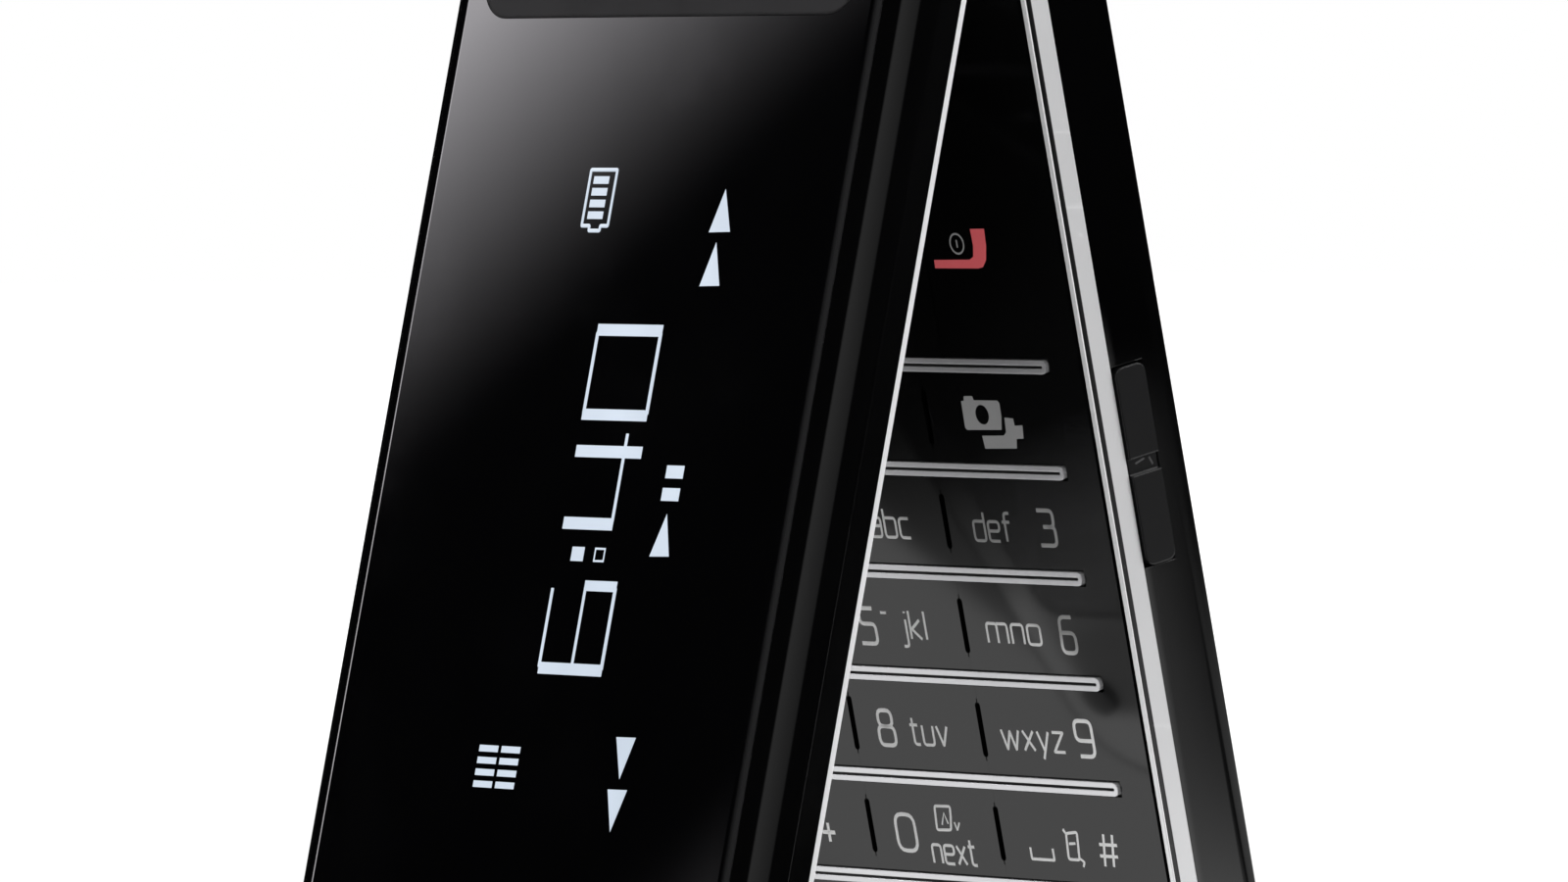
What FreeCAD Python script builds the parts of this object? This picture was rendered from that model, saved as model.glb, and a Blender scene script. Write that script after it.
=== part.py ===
import FreeCAD, Part
import math
import os

# A clamshell phone propped open like a tent, hinge uppermost. Millimetres throughout.
#
# Each half is drawn in its own tray frame: X runs across the phone, Y from the hinge axis
# towards the free end, and Z outwards from the plane where the closed halves meet. The two
# tray frames share the hinge axis. Seen from outside the lid its X runs the other way.

Vector = FreeCAD.Vector

# Overall form
width = 51.0
reach = 88.0
plan_corner_r = 7.0
closed_gap = 0.3
overcut = 1.0
lid_depth = 5.8
base_depth = 8.8
edge_round = 2.5
lid_edge_round = 3.2
rest_half_angle = 12.825

# Hinge barrel and knuckles
barrel_rise = 0.7
barrel_r = lid_depth + barrel_rise
knuckle_width = 7.1
knuckle_side_gap = 0.3
barrel_gap = 0.35
seat_gap = 0.05
heel_round_r = 10.0
heel_overhang = 1.5
hinge_bore_r = 3.5
cartridge_length = 13.0
cartridge_flat = 0.5
drive_head_r = 2.8
drive_head_length = 4.0
drive_head_flat = 0.8
drive_journal_r = 1.5
drive_journal_length = 4.0
running_gap = 0.05
bush_bore_r = 2.4
bush_length = 9.0
bush_depth = 2.0
flex_thick = 0.16
flex_coil_width = 5.8
flex_side_gap = 0.1
flex_coil_inner_r = 0.9
flex_coil_pitch = 0.5
flex_coil_turns = 4
flex_slot_height = 0.8
flex_slot_drop = 1.4
end_cap_r = 3.4
end_cap_thick = 0.7

# Bright trim round both halves
edge_trim_width = 0.4
edge_trim_height = 0.13
trim_groove_depth = 0.2
rim_groove_depth = 0.45
trim_groove_height = 0.4
side_band_height = 1.57
side_band_thick = 0.4
lid_trim_height = 0.45
lid_trim_width = 0.6

# Keypad field
key_edge_margin = 1.1
well_gap = 0.1
key_drop = 0.3
key_thick = 0.8
key_travel = 0.3
press_clearance = 0.05
key_gap = 0.1
key_bevel = 0.12
keypad_top = 9.6
first_bar = 37.6
chin_length = 12.1
bar_count = 6
row_pitch = (reach - chin_length - first_bar) / (bar_count - 1)
bar_width = 1.0
bar_side_gap = 4.5
bar_length = width - 2 * bar_side_gap
bar_rise = 0.2
bar_channel_width = 0.22
bar_channel_depth = 0.12
column_split = 7.08
slit_width = 0.55
slit_end_gap = 1.305
slit_length = row_pitch - bar_width - 2 * slit_end_gap
slit_depth = 0.5
plunger_r = 1.4
plunger_length = 1.0
plunger_hole_gap = 0.2
soft_row_split = 23.3

# Navigation ring and its centre key
nav_width = 18.2
island_border = 0.7
island_half_width = nav_width / 2 + island_border
nav_height = 21.6
nav_corner_r = 5.0
select_width = 8.6
select_height = 9.4
select_corner_r = 2.4
nav_plunger_r = 1.0
nav_plunger_inset = 2.4
centre_key_rise = 0.15

# Front housing, mat, domes and board
front_plate_thick = 0.65
mat_thick = 0.2
dome_r = 2.3
dome_top_r = 1.5
dome_height = 0.2
board_thick = 0.8
board_margin = 2.0
board_start = 10.5
chin_mic_hole_r = 0.5
mic_end_gap = 4.0
mic_place = reach - mic_end_gap
mic_size = 3.4
mic_height = 1.2
front_boss_r = 1.7

# Rear housing, battery and cover
shell_wall = 0.9
floor_wall = 0.4
board_space = 0.25
well_floor = 0.4
cover_thick = 0.85
cover_side_gap = 4.0
cover_half_width = width / 2 - cover_side_gap
cover_start = 27.0
cover_gap = 0.1
cover_travel = 8.0
cover_tongue_width = 0.5
cover_tongue_thick = 0.35
cover_tongue_length = 6.0
cover_tongue_first = 9.0
cover_tongue_end_gap = 30.0
cover_tongue_starts = (cover_start + cover_tongue_first, reach - cover_tongue_end_gap)
cover_grip_count = 5
cover_grip_pitch = 1.3
cover_grip_width = 0.6
cover_grip_length = 12.0
cover_grip_depth = 0.3
cover_grip_end = 9.0
cover_lip = 1.0
battery_side_gap = 7.5
battery_width = width - 2 * battery_side_gap
battery_start = 30.0
battery_end_gap = 8.0
battery_length = reach - battery_end_gap - battery_start
battery_gap = 0.15
battery_round = 0.8
top_bay_side_gap = 7.0
top_bay_half_width = width / 2 - top_bay_side_gap
top_bay_start = 8.9
top_bay_end = 26.0
low_bay_side_gap = 10.0
low_bay_half_width = width / 2 - low_bay_side_gap
low_bay_length = 4.8
low_bay_end_gap = 1.6
low_bay_end = reach - low_bay_end_gap
low_bay_start = low_bay_end - low_bay_length

# Parts inside the base
speaker_width = 15.0
speaker_length = 11.0
speaker_height = 2.8
speaker_side_gap = 2.0
speaker_x = top_bay_half_width - speaker_side_gap - speaker_width / 2
speaker_y = 17.5
grille_count = 5
grille_pitch = 1.9
grille_width = 0.8
grille_length = 8.0
cone_r = 4.6
cone_inner_r = 3.0
cone_depth = 0.8
speaker_corner_r = 2.0
motor_r = 2.0
motor_length = 8.0
motor_side_gap = 1.0
motor_x = motor_side_gap - top_bay_half_width
motor_y = 17.5
motor_shaft_r = 0.4
motor_end_wall = 1.0
weight_gap = 0.5
weight_r = 1.8
weight_length = 3.0
shield_height = 1.0
shield_width = 13.0
shield_length = 3.8
shield_start = 11.1
shield_side_gap = 1.0
shield_x = top_bay_half_width - shield_side_gap - shield_width / 2
antenna_height = 2.6
antenna_gap = 0.2
antenna_wall = 1.0
screw_side_gap = 4.7
screw_end_gap = 8.0
screw_x = width / 2 - screw_side_gap
screw_places = (13.5, reach - screw_end_gap)
screw_head_r = 1.2
screw_head_height = 0.7
screw_shank_r = 0.6
screw_head_drop = 0.9
screw_hex_r = 0.55
screw_hex_depth = 0.4
screw_tip_gap = 0.2
screw_boss_cap = 0.4

# Side key on the right wall
rocker_start = 38.2
rocker_length = 14.2
rocker_height = 2.75
rocker_proud = 0.3
rocker_depth = 1.5
rocker_gap = 0.12
rocker_top = 2.4
rocker_corner_r = 0.7
rocker_waist_width = 1.2
rocker_waist_depth = 0.35
rocker_nub_r = 0.6
rocker_press_gap = 0.5

# Charging socket and its cover on the left wall
port_start = 60.0
port_length = 11.0
port_height = 3.4
port_top = 3.5
port_cover_thick = 0.8
port_cover_gap = 0.12
port_pivot_r = 0.4
port_tongue_depth = 0.8
port_tongue_inset = 2.6
port_tongue_height = 1.4
socket_width = 8.0
socket_height = 2.4
socket_depth = 6.0
socket_wall = 0.3
socket_tongue_drop = 1.2
socket_tongue_thick = 0.5
socket_tongue_width = 5.2

# Lid casings
lid_split = 2.25
lid_wall = 0.9
neck_reach = 0.7
lid_start = barrel_r + neck_reach
window_thick = 0.8
window_inset = 2.2
window_gap = 0.05
deck_side_gap = 4.7
deck_half_width = width / 2 - deck_side_gap
deck_end = 13.6
deck_corner_r = 3.0
deck_thick = 0.8
neck_seam = 0.1
lid_bay_start = 14.6
lid_bay_inset = 1.5
face_ledge = 0.25
lid_board_gap = 0.2
display_border = 1.0

# Lid contents
display_window_thick = 0.7
display_window_side_gap = 4.0
display_window_half_width = width / 2 - display_window_side_gap
display_window_start = 13.0
display_window_end_gap = 16.0
display_window_end = reach - display_window_end_gap
display_window_corner_r = 2.0
display_window_drop = 0.1
display_side_gap = 2.0
display_width = 2 * (display_window_half_width - display_side_gap)
display_start = 17.0
display_end_gap = 7.0
display_length = display_window_end - display_end_gap - display_start
display_thick = 1.5
outer_display_side_gap = 13.0
outer_display_width = width - 2 * outer_display_side_gap
outer_display_start = 20.5
outer_display_end_gap = 11.5
outer_display_length = reach - outer_display_end_gap - outer_display_start
outer_display_x = -3.0
outer_display_thick = 1.3
lid_board_thick = 0.6
lid_board_side_gap = 5.0
lid_board_width = width - 2 * lid_board_side_gap
lid_board_end_gap = 15.2
camera_size = 5.0
camera_height = 3.4
camera_y = 9.75
lens_ring_r = 2.2
lens_ring_proud = 0.15
lens_r = 1.6
lens_thick = 0.6
lens_drop = 0.2
lens_fit_gap = 0.1
earpiece_length = 11.0
earpiece_width = 7.0
earpiece_height = 2.0
earpiece_end_gap = 9.5
earpiece_y = reach - earpiece_end_gap
ear_slot_length = 8.0
ear_slot_width = 1.0
bumper_r = 1.6
bumper_height = 0.5
bumper_proud = 0.4
bumper_side_gap = 4.5
bumper_end_gap = 8.0
bumper_x = width / 2 - bumper_side_gap
bumper_places = (10.0, reach - bumper_end_gap)

# Heights out of the joint plane, worked out from the sizes above
quarter_turn = 90
half_gap = closed_gap / 2
half_width = width / 2
base_back = half_gap + base_depth
lid_face = half_gap + lid_depth
lid_ceiling = lid_face - window_thick - face_ledge
key_top = half_gap + key_drop
key_under = key_top + key_thick
plate_top = key_under + key_travel + press_clearance
plate_under = plate_top + front_plate_thick
band_top = half_gap + edge_trim_height + trim_groove_height
band_under = band_top + side_band_height
plunger_end = key_under + plunger_length
mat_top = plunger_end + key_travel + press_clearance
mat_under = mat_top + mat_thick
board_top = mat_under + dome_height
board_under = board_top + board_thick
bay_floor = board_under + board_space
cover_under = base_back - cover_thick
battery_top = bay_floor + well_floor + battery_gap
battery_back = cover_under - battery_gap
knuckle_inner = half_width - knuckle_width
barrel_half = knuckle_inner - knuckle_side_gap
key_half_width = half_width - key_edge_margin
well_half_width = key_half_width + well_gap
last_bar = first_bar + row_pitch * (bar_count - 1)
well_end = last_bar + bar_width / 2


def box(x_range, y_range, z_range):
    corner = Vector(x_range[0], y_range[0], z_range[0])
    return Part.makeBox(x_range[1] - x_range[0], y_range[1] - y_range[0],
                        z_range[1] - z_range[0], corner)


def middle(pair):
    return (pair[0] + pair[1]) / 2


def rod(radius, length, start, direction=Vector(0, 0, 1)):
    return Part.makeCylinder(radius, length, start, direction)


def rounded_face(x_range, y_range, radius, z=0.0):
    """A rectangle with four round corners, as a face at height z."""
    x0, x1 = x_range
    y0, y1 = y_range
    corners = [(x1, y0, -quarter_turn), (x1, y1, 0), (x0, y1, quarter_turn), (x0, y0, 2 * quarter_turn)]
    edges = []
    ends = []
    for x, y, angle in corners:
        centre = Vector(x - math.copysign(radius, x - (x0 + x1) / 2),
                        y - math.copysign(radius, y - (y0 + y1) / 2), z)
        arc = Part.makeCircle(radius, centre, Vector(0, 0, 1), angle, angle + quarter_turn)
        ends.append((arc.valueAt(arc.FirstParameter), arc.valueAt(arc.LastParameter), arc))
    for index, (start, end, arc) in enumerate(ends):
        edges.append(arc)
        following = ends[(index + 1) % len(ends)][0]
        edges.append(Part.makeLine(end, following))
    return Part.Face(Part.Wire(edges))


def rounded_block(x_range, y_range, radius, z_range):
    face = rounded_face(x_range, y_range, radius, z_range[0])
    return face.extrude(Vector(0, 0, z_range[1] - z_range[0]))


def stadium_block(x_range, y_range, z_range):
    """A block with full round ends along its longer side."""
    x0, x1 = x_range
    y0, y1 = y_range
    z = z_range[0]
    lengthwise = x1 - x0 > y1 - y0
    radius = min(x1 - x0, y1 - y0) / 2
    if lengthwise:
        start = Vector(x0 + radius, middle(y_range), z)
        end = Vector(x1 - radius, middle(y_range), z)
    else:
        start = Vector(middle(x_range), y0 + radius, z)
        end = Vector(middle(x_range), y1 - radius, z)
    along = (end - start).normalize() * radius
    side = Vector(-along.y, along.x, 0)
    edges = [
        Part.makeLine(start - side, end - side),
        Part.Arc(end - side, end + along, end + side).toShape(),
        Part.makeLine(end + side, start + side),
        Part.Arc(start + side, start - along, start - side).toShape(),
    ]
    return Part.Face(Part.Wire(edges)).extrude(Vector(0, 0, z_range[1] - z))


def plan_block(inset, start, z_range):
    """The phone's plan, moved in by inset, with its two round corners at the free end."""
    half = half_width - inset
    end = reach - inset
    radius = plan_corner_r - inset
    z = z_range[0]
    turn = radius * math.sqrt(0.5)
    left_mid = Vector(-half + radius - turn, end - radius + turn, z)
    right_mid = Vector(half - radius + turn, end - radius + turn, z)
    edges = [
        Part.makeLine(Vector(half, start, z), Vector(half, end - radius, z)),
        Part.Arc(Vector(half, end - radius, z), right_mid, Vector(half - radius, end, z)).toShape(),
        Part.makeLine(Vector(half - radius, end, z), Vector(-half + radius, end, z)),
        Part.Arc(Vector(-half + radius, end, z), left_mid, Vector(-half, end - radius, z)).toShape(),
        Part.makeLine(Vector(-half, end - radius, z), Vector(-half, start, z)),
        Part.makeLine(Vector(-half, start, z), Vector(half, start, z)),
    ]
    return Part.Face(Part.Wire(edges)).extrude(Vector(0, 0, z_range[1] - z))


def plan_ring(outer_inset, wall, start, z_range):
    """A U-shaped wall that follows the two sides and the free end."""
    outer = plan_block(outer_inset, start, z_range)
    return outer.cut(plan_block(outer_inset + wall, start - overcut, z_range))


def round_outer_edges(solid, radius, z, start):
    """Round the edges at height z, apart from the straight one at the hinge end."""
    chosen = []
    for edge in solid.Edges:
        heights = [vertex.Point.z for vertex in edge.Vertexes]
        places = [vertex.Point.y for vertex in edge.Vertexes]
        flat = all(abs(height - z) < 1e-6 for height in heights)
        at_hinge = all(abs(place - start) < 1e-6 for place in places)
        if flat and not at_hinge:
            chosen.append(edge)
    return solid.makeFillet(radius, chosen)


def axis_rod(radius, x_range):
    """A cylinder about the hinge axis."""
    return rod(radius, x_range[1] - x_range[0], Vector(x_range[0], 0, 0), Vector(1, 0, 0))


def join(solids):
    whole = solids[0]
    for solid in solids[1:]:
        whole = whole.fuse(solid)
    return whole.removeSplitter()


def largest_piece(shape):
    return max(shape.Solids, key=lambda piece: piece.Volume)


def cut_all(solid, tools):
    for tool in tools:
        solid = solid.cut(tool)
    return solid


# Base casings

def heel_profile_block():
    """Side profile with a flat back, a round heel and the hinge barrel, full width."""
    rise = heel_round_r - barrel_r
    drop = heel_round_r - base_back
    heel_y = math.sqrt(rise ** 2 - drop ** 2)
    heel_centre = Vector(0, heel_y, base_back - heel_round_r)
    touch = heel_centre * (-barrel_r / heel_centre.Length)
    heel_start = Vector(0, heel_y, base_back)
    heel_turn = (heel_start - heel_centre) + (touch - heel_centre)
    heel_mid = heel_centre + heel_turn.normalize() * heel_round_r
    barrel_top = Vector(0, 0, -barrel_r)
    barrel_turn = touch + barrel_top
    barrel_mid = barrel_turn.normalize() * barrel_r
    far_top = Vector(0, reach, -barrel_r)
    far_back = Vector(0, reach, base_back)
    edges = [
        Part.makeLine(barrel_top, far_top),
        Part.makeLine(far_top, far_back),
        Part.makeLine(far_back, heel_start),
        Part.Arc(heel_start, heel_mid, touch).toShape(),
        Part.Arc(touch, barrel_mid, barrel_top).toShape(),
    ]
    face = Part.Face(Part.Wire(edges))
    face.translate(Vector(-half_width, 0, 0))
    return face.extrude(Vector(width, 0, 0))


def rounded_barrel():
    """The full-width hinge barrel with round ends."""
    barrel = axis_rod(barrel_r, (-half_width, half_width))
    rims = [edge for edge in barrel.Edges if edge.BoundBox.XLength < 1e-3]
    return barrel.makeFillet(edge_round, rims)


def rear_envelope():
    """Outside of the rear housing: round plan, round back edges and both knuckles."""
    plan = plan_block(0, -2 * barrel_r, (-2 * barrel_r, base_back))
    solid = heel_profile_block().common(plan).removeSplitter()
    chosen = []
    for edge in solid.Edges:
        bounds = edge.BoundBox
        upright = bounds.XLength < 1e-3 and bounds.YLength < 1e-3
        across = bounds.YLength < 1e-3 and bounds.YMax < reach / 2
        if not upright and not across:
            chosen.append(edge)
    solid = solid.makeFillet(edge_round, chosen)
    above = box((-width, width), (0, 2 * reach), (-2 * barrel_r, band_under))
    return solid.cut(above.cut(rounded_barrel()))


def screw_spots():
    return [(side * screw_x, place) for place in screw_places for side in (-1, 1)]


def cover_bed(gap, z_under):
    """The space of the battery cover, widened by gap, open at the free end."""
    half = cover_half_width + gap
    return box((-half, half), (cover_start - gap, reach + plan_corner_r), (z_under, base_back + overcut))


def cover_tongues(gap, travel):
    """Tongues on the cover's long edges, or the slots that they slide in."""
    tongues = []
    for start in cover_tongue_starts:
        for side in (-1, 1):
            inner = cover_half_width - cover_lip
            outer = cover_half_width + cover_tongue_width + gap
            x_range = (inner, outer) if side > 0 else (-outer, -inner)
            y_range = (start - gap, start + cover_tongue_length + travel + gap)
            z_range = (cover_under - gap, cover_under + cover_tongue_thick + gap)
            tongues.append(box(x_range, y_range, z_range))
    return tongues


def rocker_space(gap):
    y_range = (rocker_start - gap, rocker_start + rocker_length + gap)
    z_range = (rocker_top - gap, rocker_top + rocker_height + gap)
    return y_range, z_range


def port_space(gap):
    y_range = (port_start - gap, port_start + port_length + gap)
    z_range = (port_top - gap, port_top + port_height + gap)
    return y_range, z_range


def socket_space(gap):
    y_centre = port_start + port_length / 2
    z_centre = port_top + port_height / 2
    x_range = (-half_width, -half_width + port_cover_thick + socket_depth + gap)
    y_range = (y_centre - socket_width / 2 - gap, y_centre + socket_width / 2 + gap)
    z_range = (z_centre - socket_height / 2 - gap, z_centre + socket_height / 2 + gap)
    return x_range, y_range, z_range


def base_rear_housing():
    solid = rear_envelope()
    barrel_room = axis_rod(barrel_r + barrel_gap, (-knuckle_inner, knuckle_inner))
    behind = box((-knuckle_inner, knuckle_inner), (-3 * barrel_r, -heel_overhang),
                 (-3 * barrel_r, 3 * barrel_r))
    board_bay = plan_block(shell_wall, board_start - board_space, (band_under - overcut, bay_floor))
    top_bay = box((-top_bay_half_width, top_bay_half_width), (top_bay_start, top_bay_end),
                  (band_under, base_back - shell_wall))
    low_bay = box((-low_bay_half_width, low_bay_half_width), (low_bay_start, low_bay_end),
                  (band_under, cover_under - floor_wall))
    half_battery = battery_width / 2 + battery_gap
    well = box((-half_battery, half_battery),
               (battery_start - battery_gap, battery_start + battery_length + battery_gap),
               (bay_floor + well_floor, base_back + overcut))
    solid = cut_all(solid, [barrel_room, behind, board_bay, top_bay, low_bay, well])
    solid = solid.cut(cover_bed(cover_gap, cover_under))
    solid = cut_all(solid, cover_tongues(cover_gap, cover_travel))
    y_range, z_range = rocker_space(rocker_gap)
    solid = solid.cut(box((rocker_floor_x(), half_width + overcut), y_range, z_range))
    y_range, z_range = port_space(port_cover_gap)
    solid = solid.cut(box((-half_width - overcut, -half_width + port_cover_thick + port_cover_gap),
                          y_range, z_range))
    solid = solid.cut(box(*socket_space(0)))
    for side in (-1, 1):
        recess_end = side * (half_width - end_cap_thick)
        x_range = tuple(sorted((recess_end, side * (half_width + overcut))))
        solid = solid.cut(axis_rod(end_cap_r, x_range))
    solid = solid.cut(drive_head())
    bush_bed = (-half_width + bush_depth, -knuckle_inner + overcut)
    solid = solid.cut(axis_rod(hinge_bore_r - running_gap, bush_bed))
    for index in range(grille_count):
        y = speaker_y + (index - (grille_count - 1) / 2) * grille_pitch
        slot = stadium_block((speaker_x - grille_length / 2, speaker_x + grille_length / 2),
                             (y - grille_width / 2, y + grille_width / 2),
                             (base_back - 2 * shell_wall, base_back + overcut))
        solid = solid.cut(slot)
    for x, y in screw_spots():
        head_under = screw_seat(y) + screw_head_height
        solid = solid.cut(rod(screw_head_r + running_gap, base_back, Vector(x, y, screw_seat(y))))
        solid = solid.cut(rod(screw_shank_r + running_gap, head_under, Vector(x, y, 0)))
        boss_room = rod(front_boss_r + seat_gap, bay_floor, Vector(x, y, 0))
        solid = solid.cut(boss_room)
    return solid.removeSplitter()


def screw_seat(y):
    """Height at which a screw's head rests: deeper under the battery cover."""
    under = cover_under if y > cover_start else base_back
    return under - screw_head_drop - screw_head_height


def nav_face_block(gap, z_range):
    half = nav_width / 2 + gap
    y_range = (soft_row_split - nav_height / 2 - gap, soft_row_split + nav_height / 2 + gap)
    return rounded_block((-half, half), y_range, nav_corner_r + gap, z_range)


def base_front_housing():
    rim_top = half_gap + edge_trim_height
    lip = plan_ring(trim_groove_depth, key_edge_margin - well_gap - trim_groove_depth,
                    0, (rim_top, band_top))
    wall = plan_ring(side_band_thick, key_edge_margin - well_gap - side_band_thick,
                     0, (band_top, plate_top))
    plate = plan_block(side_band_thick, 0, (plate_top, band_under))
    chin = plan_block(key_edge_margin - well_gap, well_end, (key_top, plate_top))
    brow = box((-well_half_width, well_half_width), (0, keypad_top - key_gap), (key_top, plate_top))
    island = box((-island_half_width, island_half_width),
                 (keypad_top - key_gap, first_bar - bar_width / 2), (key_top, plate_top))
    island = island.cut(nav_face_block(key_gap, (0, plate_top)))
    solid = join([plate, wall, lip, chin, brow, island])
    groove_end = half_gap + edge_trim_height + rim_groove_depth
    solid = solid.cut(plan_ring(edge_trim_width, key_edge_margin - edge_trim_width, 0, (0, groove_end)))
    for x, y in screw_spots():
        solid = solid.fuse(rod(front_boss_r, bay_floor - plate_under, Vector(x, y, plate_under)))
    solid = solid.removeSplitter()
    knuckles = [axis_rod(barrel_r + seat_gap, (-half_width, -knuckle_inner)),
                axis_rod(barrel_r + seat_gap, (knuckle_inner, half_width))]
    barrel_room = axis_rod(barrel_r + barrel_gap, (-knuckle_inner, knuckle_inner))
    solid = cut_all(solid, knuckles + [barrel_room])
    for x, y, radius in plunger_spots():
        depth = band_under + overcut - plate_top
        solid = solid.cut(rod(radius + plunger_hole_gap, depth, Vector(x, y, plate_top)))
    for x, y in screw_spots():
        solid = solid.cut(rod(screw_shank_r, bay_floor, Vector(x, y, plate_top + screw_boss_cap)))
    solid = solid.cut(rod(chin_mic_hole_r, base_back, Vector(0, mic_place, 0)))
    return largest_piece(solid)


def side_trim_band():
    """Broad bright band round the keypad half, ended at the knuckles."""
    ring = plan_ring(0, side_band_thick, 0, (band_top, band_under))
    ring = ring.cut(axis_rod(barrel_r + seat_gap, (-width, width)))
    return largest_piece(ring)


def keypad_edge_trim():
    """Thin bright lip round the keypad's edge."""
    ring = plan_ring(0, edge_trim_width, 0, (half_gap, half_gap + edge_trim_height))
    ring = ring.cut(axis_rod(barrel_r + seat_gap, (-width, width)))
    return largest_piece(ring)


# Keypad

def bar_y(row):
    return first_bar + row * row_pitch


def keypad_row_bars():
    """Raised bright bars between the key rows, each with a shallow channel."""
    bars = []
    for row in range(bar_count):
        y = bar_y(row)
        half = bar_length / 2
        bar = stadium_block((-half, half), (y - bar_width / 2, y + bar_width / 2),
                            (key_top - bar_rise, plate_top))
        inner = half - (bar_width - bar_channel_width) / 2
        channel = stadium_block((-inner, inner),
                                (y - bar_channel_width / 2, y + bar_channel_width / 2),
                                (0, key_top - bar_rise + bar_channel_depth))
        bars.append(bar.cut(channel))
    return Part.makeCompound(bars)


def column_range(column):
    """Left, middle or right column as -1, 0 or 1."""
    if column == 0:
        return (-column_split + key_gap / 2, column_split - key_gap / 2)
    edges = (column_split + key_gap / 2, key_half_width)
    return edges if column > 0 else (-edges[1], -edges[0])


def row_range(row):
    return (bar_y(row) + key_gap / 2, bar_y(row + 1) - key_gap / 2)


def grid_keys():
    """Name, X range and Y range of the keys in the five lower rows."""
    names = [
        ("voice_key", "clear_key", "camera_key"),
        ("key_1", "key_2", "key_3"),
        ("key_4", "key_5", "key_6"),
        ("key_7", "key_8", "key_9"),
        ("key_star", "key_0", "key_hash"),
    ]
    keys = []
    for row, row_names in enumerate(names):
        for column, name in zip((-1, 0, 1), row_names):
            keys.append((name, column_range(column), row_range(row)))
    return keys


def upper_keys():
    """Name, X range and Y range of the four keys beside the navigation ring."""
    inner = island_half_width + key_gap
    rows = [("soft_key", (keypad_top, soft_row_split - key_gap / 2)),
            ("call_key", (soft_row_split + key_gap / 2, first_bar - key_gap / 2))]
    keys = []
    for kind, y_range in rows:
        for side, prefix in ((-1, "left_"), (1, "right_")):
            x_range = (inner, key_half_width) if side > 0 else (-key_half_width, -inner)
            keys.append((prefix + kind, x_range, y_range))
    return keys


def nav_plunger_spots():
    across = nav_width / 2 - nav_plunger_inset
    along = nav_height / 2 - nav_plunger_inset
    return [(across, soft_row_split), (-across, soft_row_split),
            (0, soft_row_split - along), (0, soft_row_split + along)]


def plunger_spots():
    spots = [(middle(x_range), middle(y_range), plunger_r)
             for name, x_range, y_range in grid_keys() + upper_keys()]
    spots += [(x, y, nav_plunger_r) for x, y in nav_plunger_spots()]
    spots.append((0, soft_row_split, plunger_r))
    return spots


def bar_slots():
    slots = []
    half = bar_length / 2 + key_gap
    for row in range(bar_count):
        y = bar_y(row)
        slots.append(box((-half, half), (y - bar_width / 2 - key_gap, y + bar_width / 2 + key_gap),
                         (0, plate_top)))
    return slots


def column_slits():
    slits = []
    for row in range(bar_count - 1):
        y = bar_y(row) + row_pitch / 2
        for side in (-1, 1):
            x = side * column_split
            slits.append(stadium_block((x - slit_width / 2, x + slit_width / 2),
                                       (y - slit_length / 2, y + slit_length / 2),
                                       (0, key_top + slit_depth)))
    return slits


def bevel_top(solid, z):
    edges = [edge for edge in solid.Edges
             if abs(edge.BoundBox.ZMin - z) < 1e-6 and abs(edge.BoundBox.ZMax - z) < 1e-6]
    return solid.makeChamfer(key_bevel, edges)


def key_cap(x_range, y_range):
    cap = box(x_range, y_range, (key_top, key_under))
    cap = cut_all(cap, bar_slots() + column_slits())
    stem = rod(plunger_r, plunger_length, Vector(middle(x_range), middle(y_range), key_under))
    return cap.fuse(stem).removeSplitter()


def select_block(gap, z_range):
    half = select_width / 2 + gap
    y_range = (soft_row_split - select_height / 2 - gap, soft_row_split + select_height / 2 + gap)
    return rounded_block((-half, half), y_range, select_corner_r + gap, z_range)


def navigation_ring():
    ring = nav_face_block(0, (key_top, key_under))
    ring = ring.cut(select_block(key_gap, (0, base_back)))
    ring = bevel_top(ring, key_top)
    for x, y in nav_plunger_spots():
        ring = ring.fuse(rod(nav_plunger_r, plunger_length, Vector(x, y, key_under)))
    return ring.removeSplitter()


def select_key():
    cap = select_block(0, (key_top - centre_key_rise, key_under))
    cap = bevel_top(cap, key_top - centre_key_rise)
    stem = rod(plunger_r, plunger_length, Vector(0, soft_row_split, key_under))
    return cap.fuse(stem).removeSplitter()


# Inside the base

def board_outline(inset, z_range):
    solid = plan_block(inset, board_start, z_range)
    for x, y in screw_spots():
        solid = solid.cut(rod(front_boss_r + board_space, 3 * base_back, Vector(x, y, -base_back)))
    return solid


def keypad_mat():
    return board_outline(board_margin, (mat_top, mat_under))


def metal_domes():
    """Snap domes on the board, one under each plunger."""
    domes = []
    for x, y, radius in plunger_spots():
        domes.append(Part.makeCone(dome_top_r, dome_r, dome_height, Vector(x, y, mat_under)))
    return Part.makeCompound(domes)


def main_circuit_board():
    board = board_outline(board_margin, (board_top, board_under))
    return board.cut(rod(chin_mic_hole_r, base_back, Vector(0, mic_place, 0)))


def shield_cans():
    cans = []
    z_range = (board_under, board_under + shield_height)
    y_range = (shield_start, shield_start + shield_length)
    for x in (-shield_x, shield_x):
        cans.append(box((x - shield_width / 2, x + shield_width / 2), y_range, z_range))
    return Part.makeCompound(cans)


def battery_pack():
    half = battery_width / 2
    solid = rounded_block((-half, half), (battery_start, battery_start + battery_length),
                          battery_round, (battery_top, battery_back))
    return solid


def battery_cover():
    cover = rear_envelope().common(cover_bed(0, cover_under))
    cover = cover.fuse(cover_tongues(0, 0)).removeSplitter()
    for index in range(cover_grip_count):
        y = reach - cover_grip_end - index * cover_grip_pitch
        groove = stadium_block((-cover_grip_length / 2, cover_grip_length / 2),
                               (y - cover_grip_width / 2, y + cover_grip_width / 2),
                               (base_back - cover_grip_depth, base_back + overcut))
        cover = cover.cut(groove)
    return cover


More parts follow.
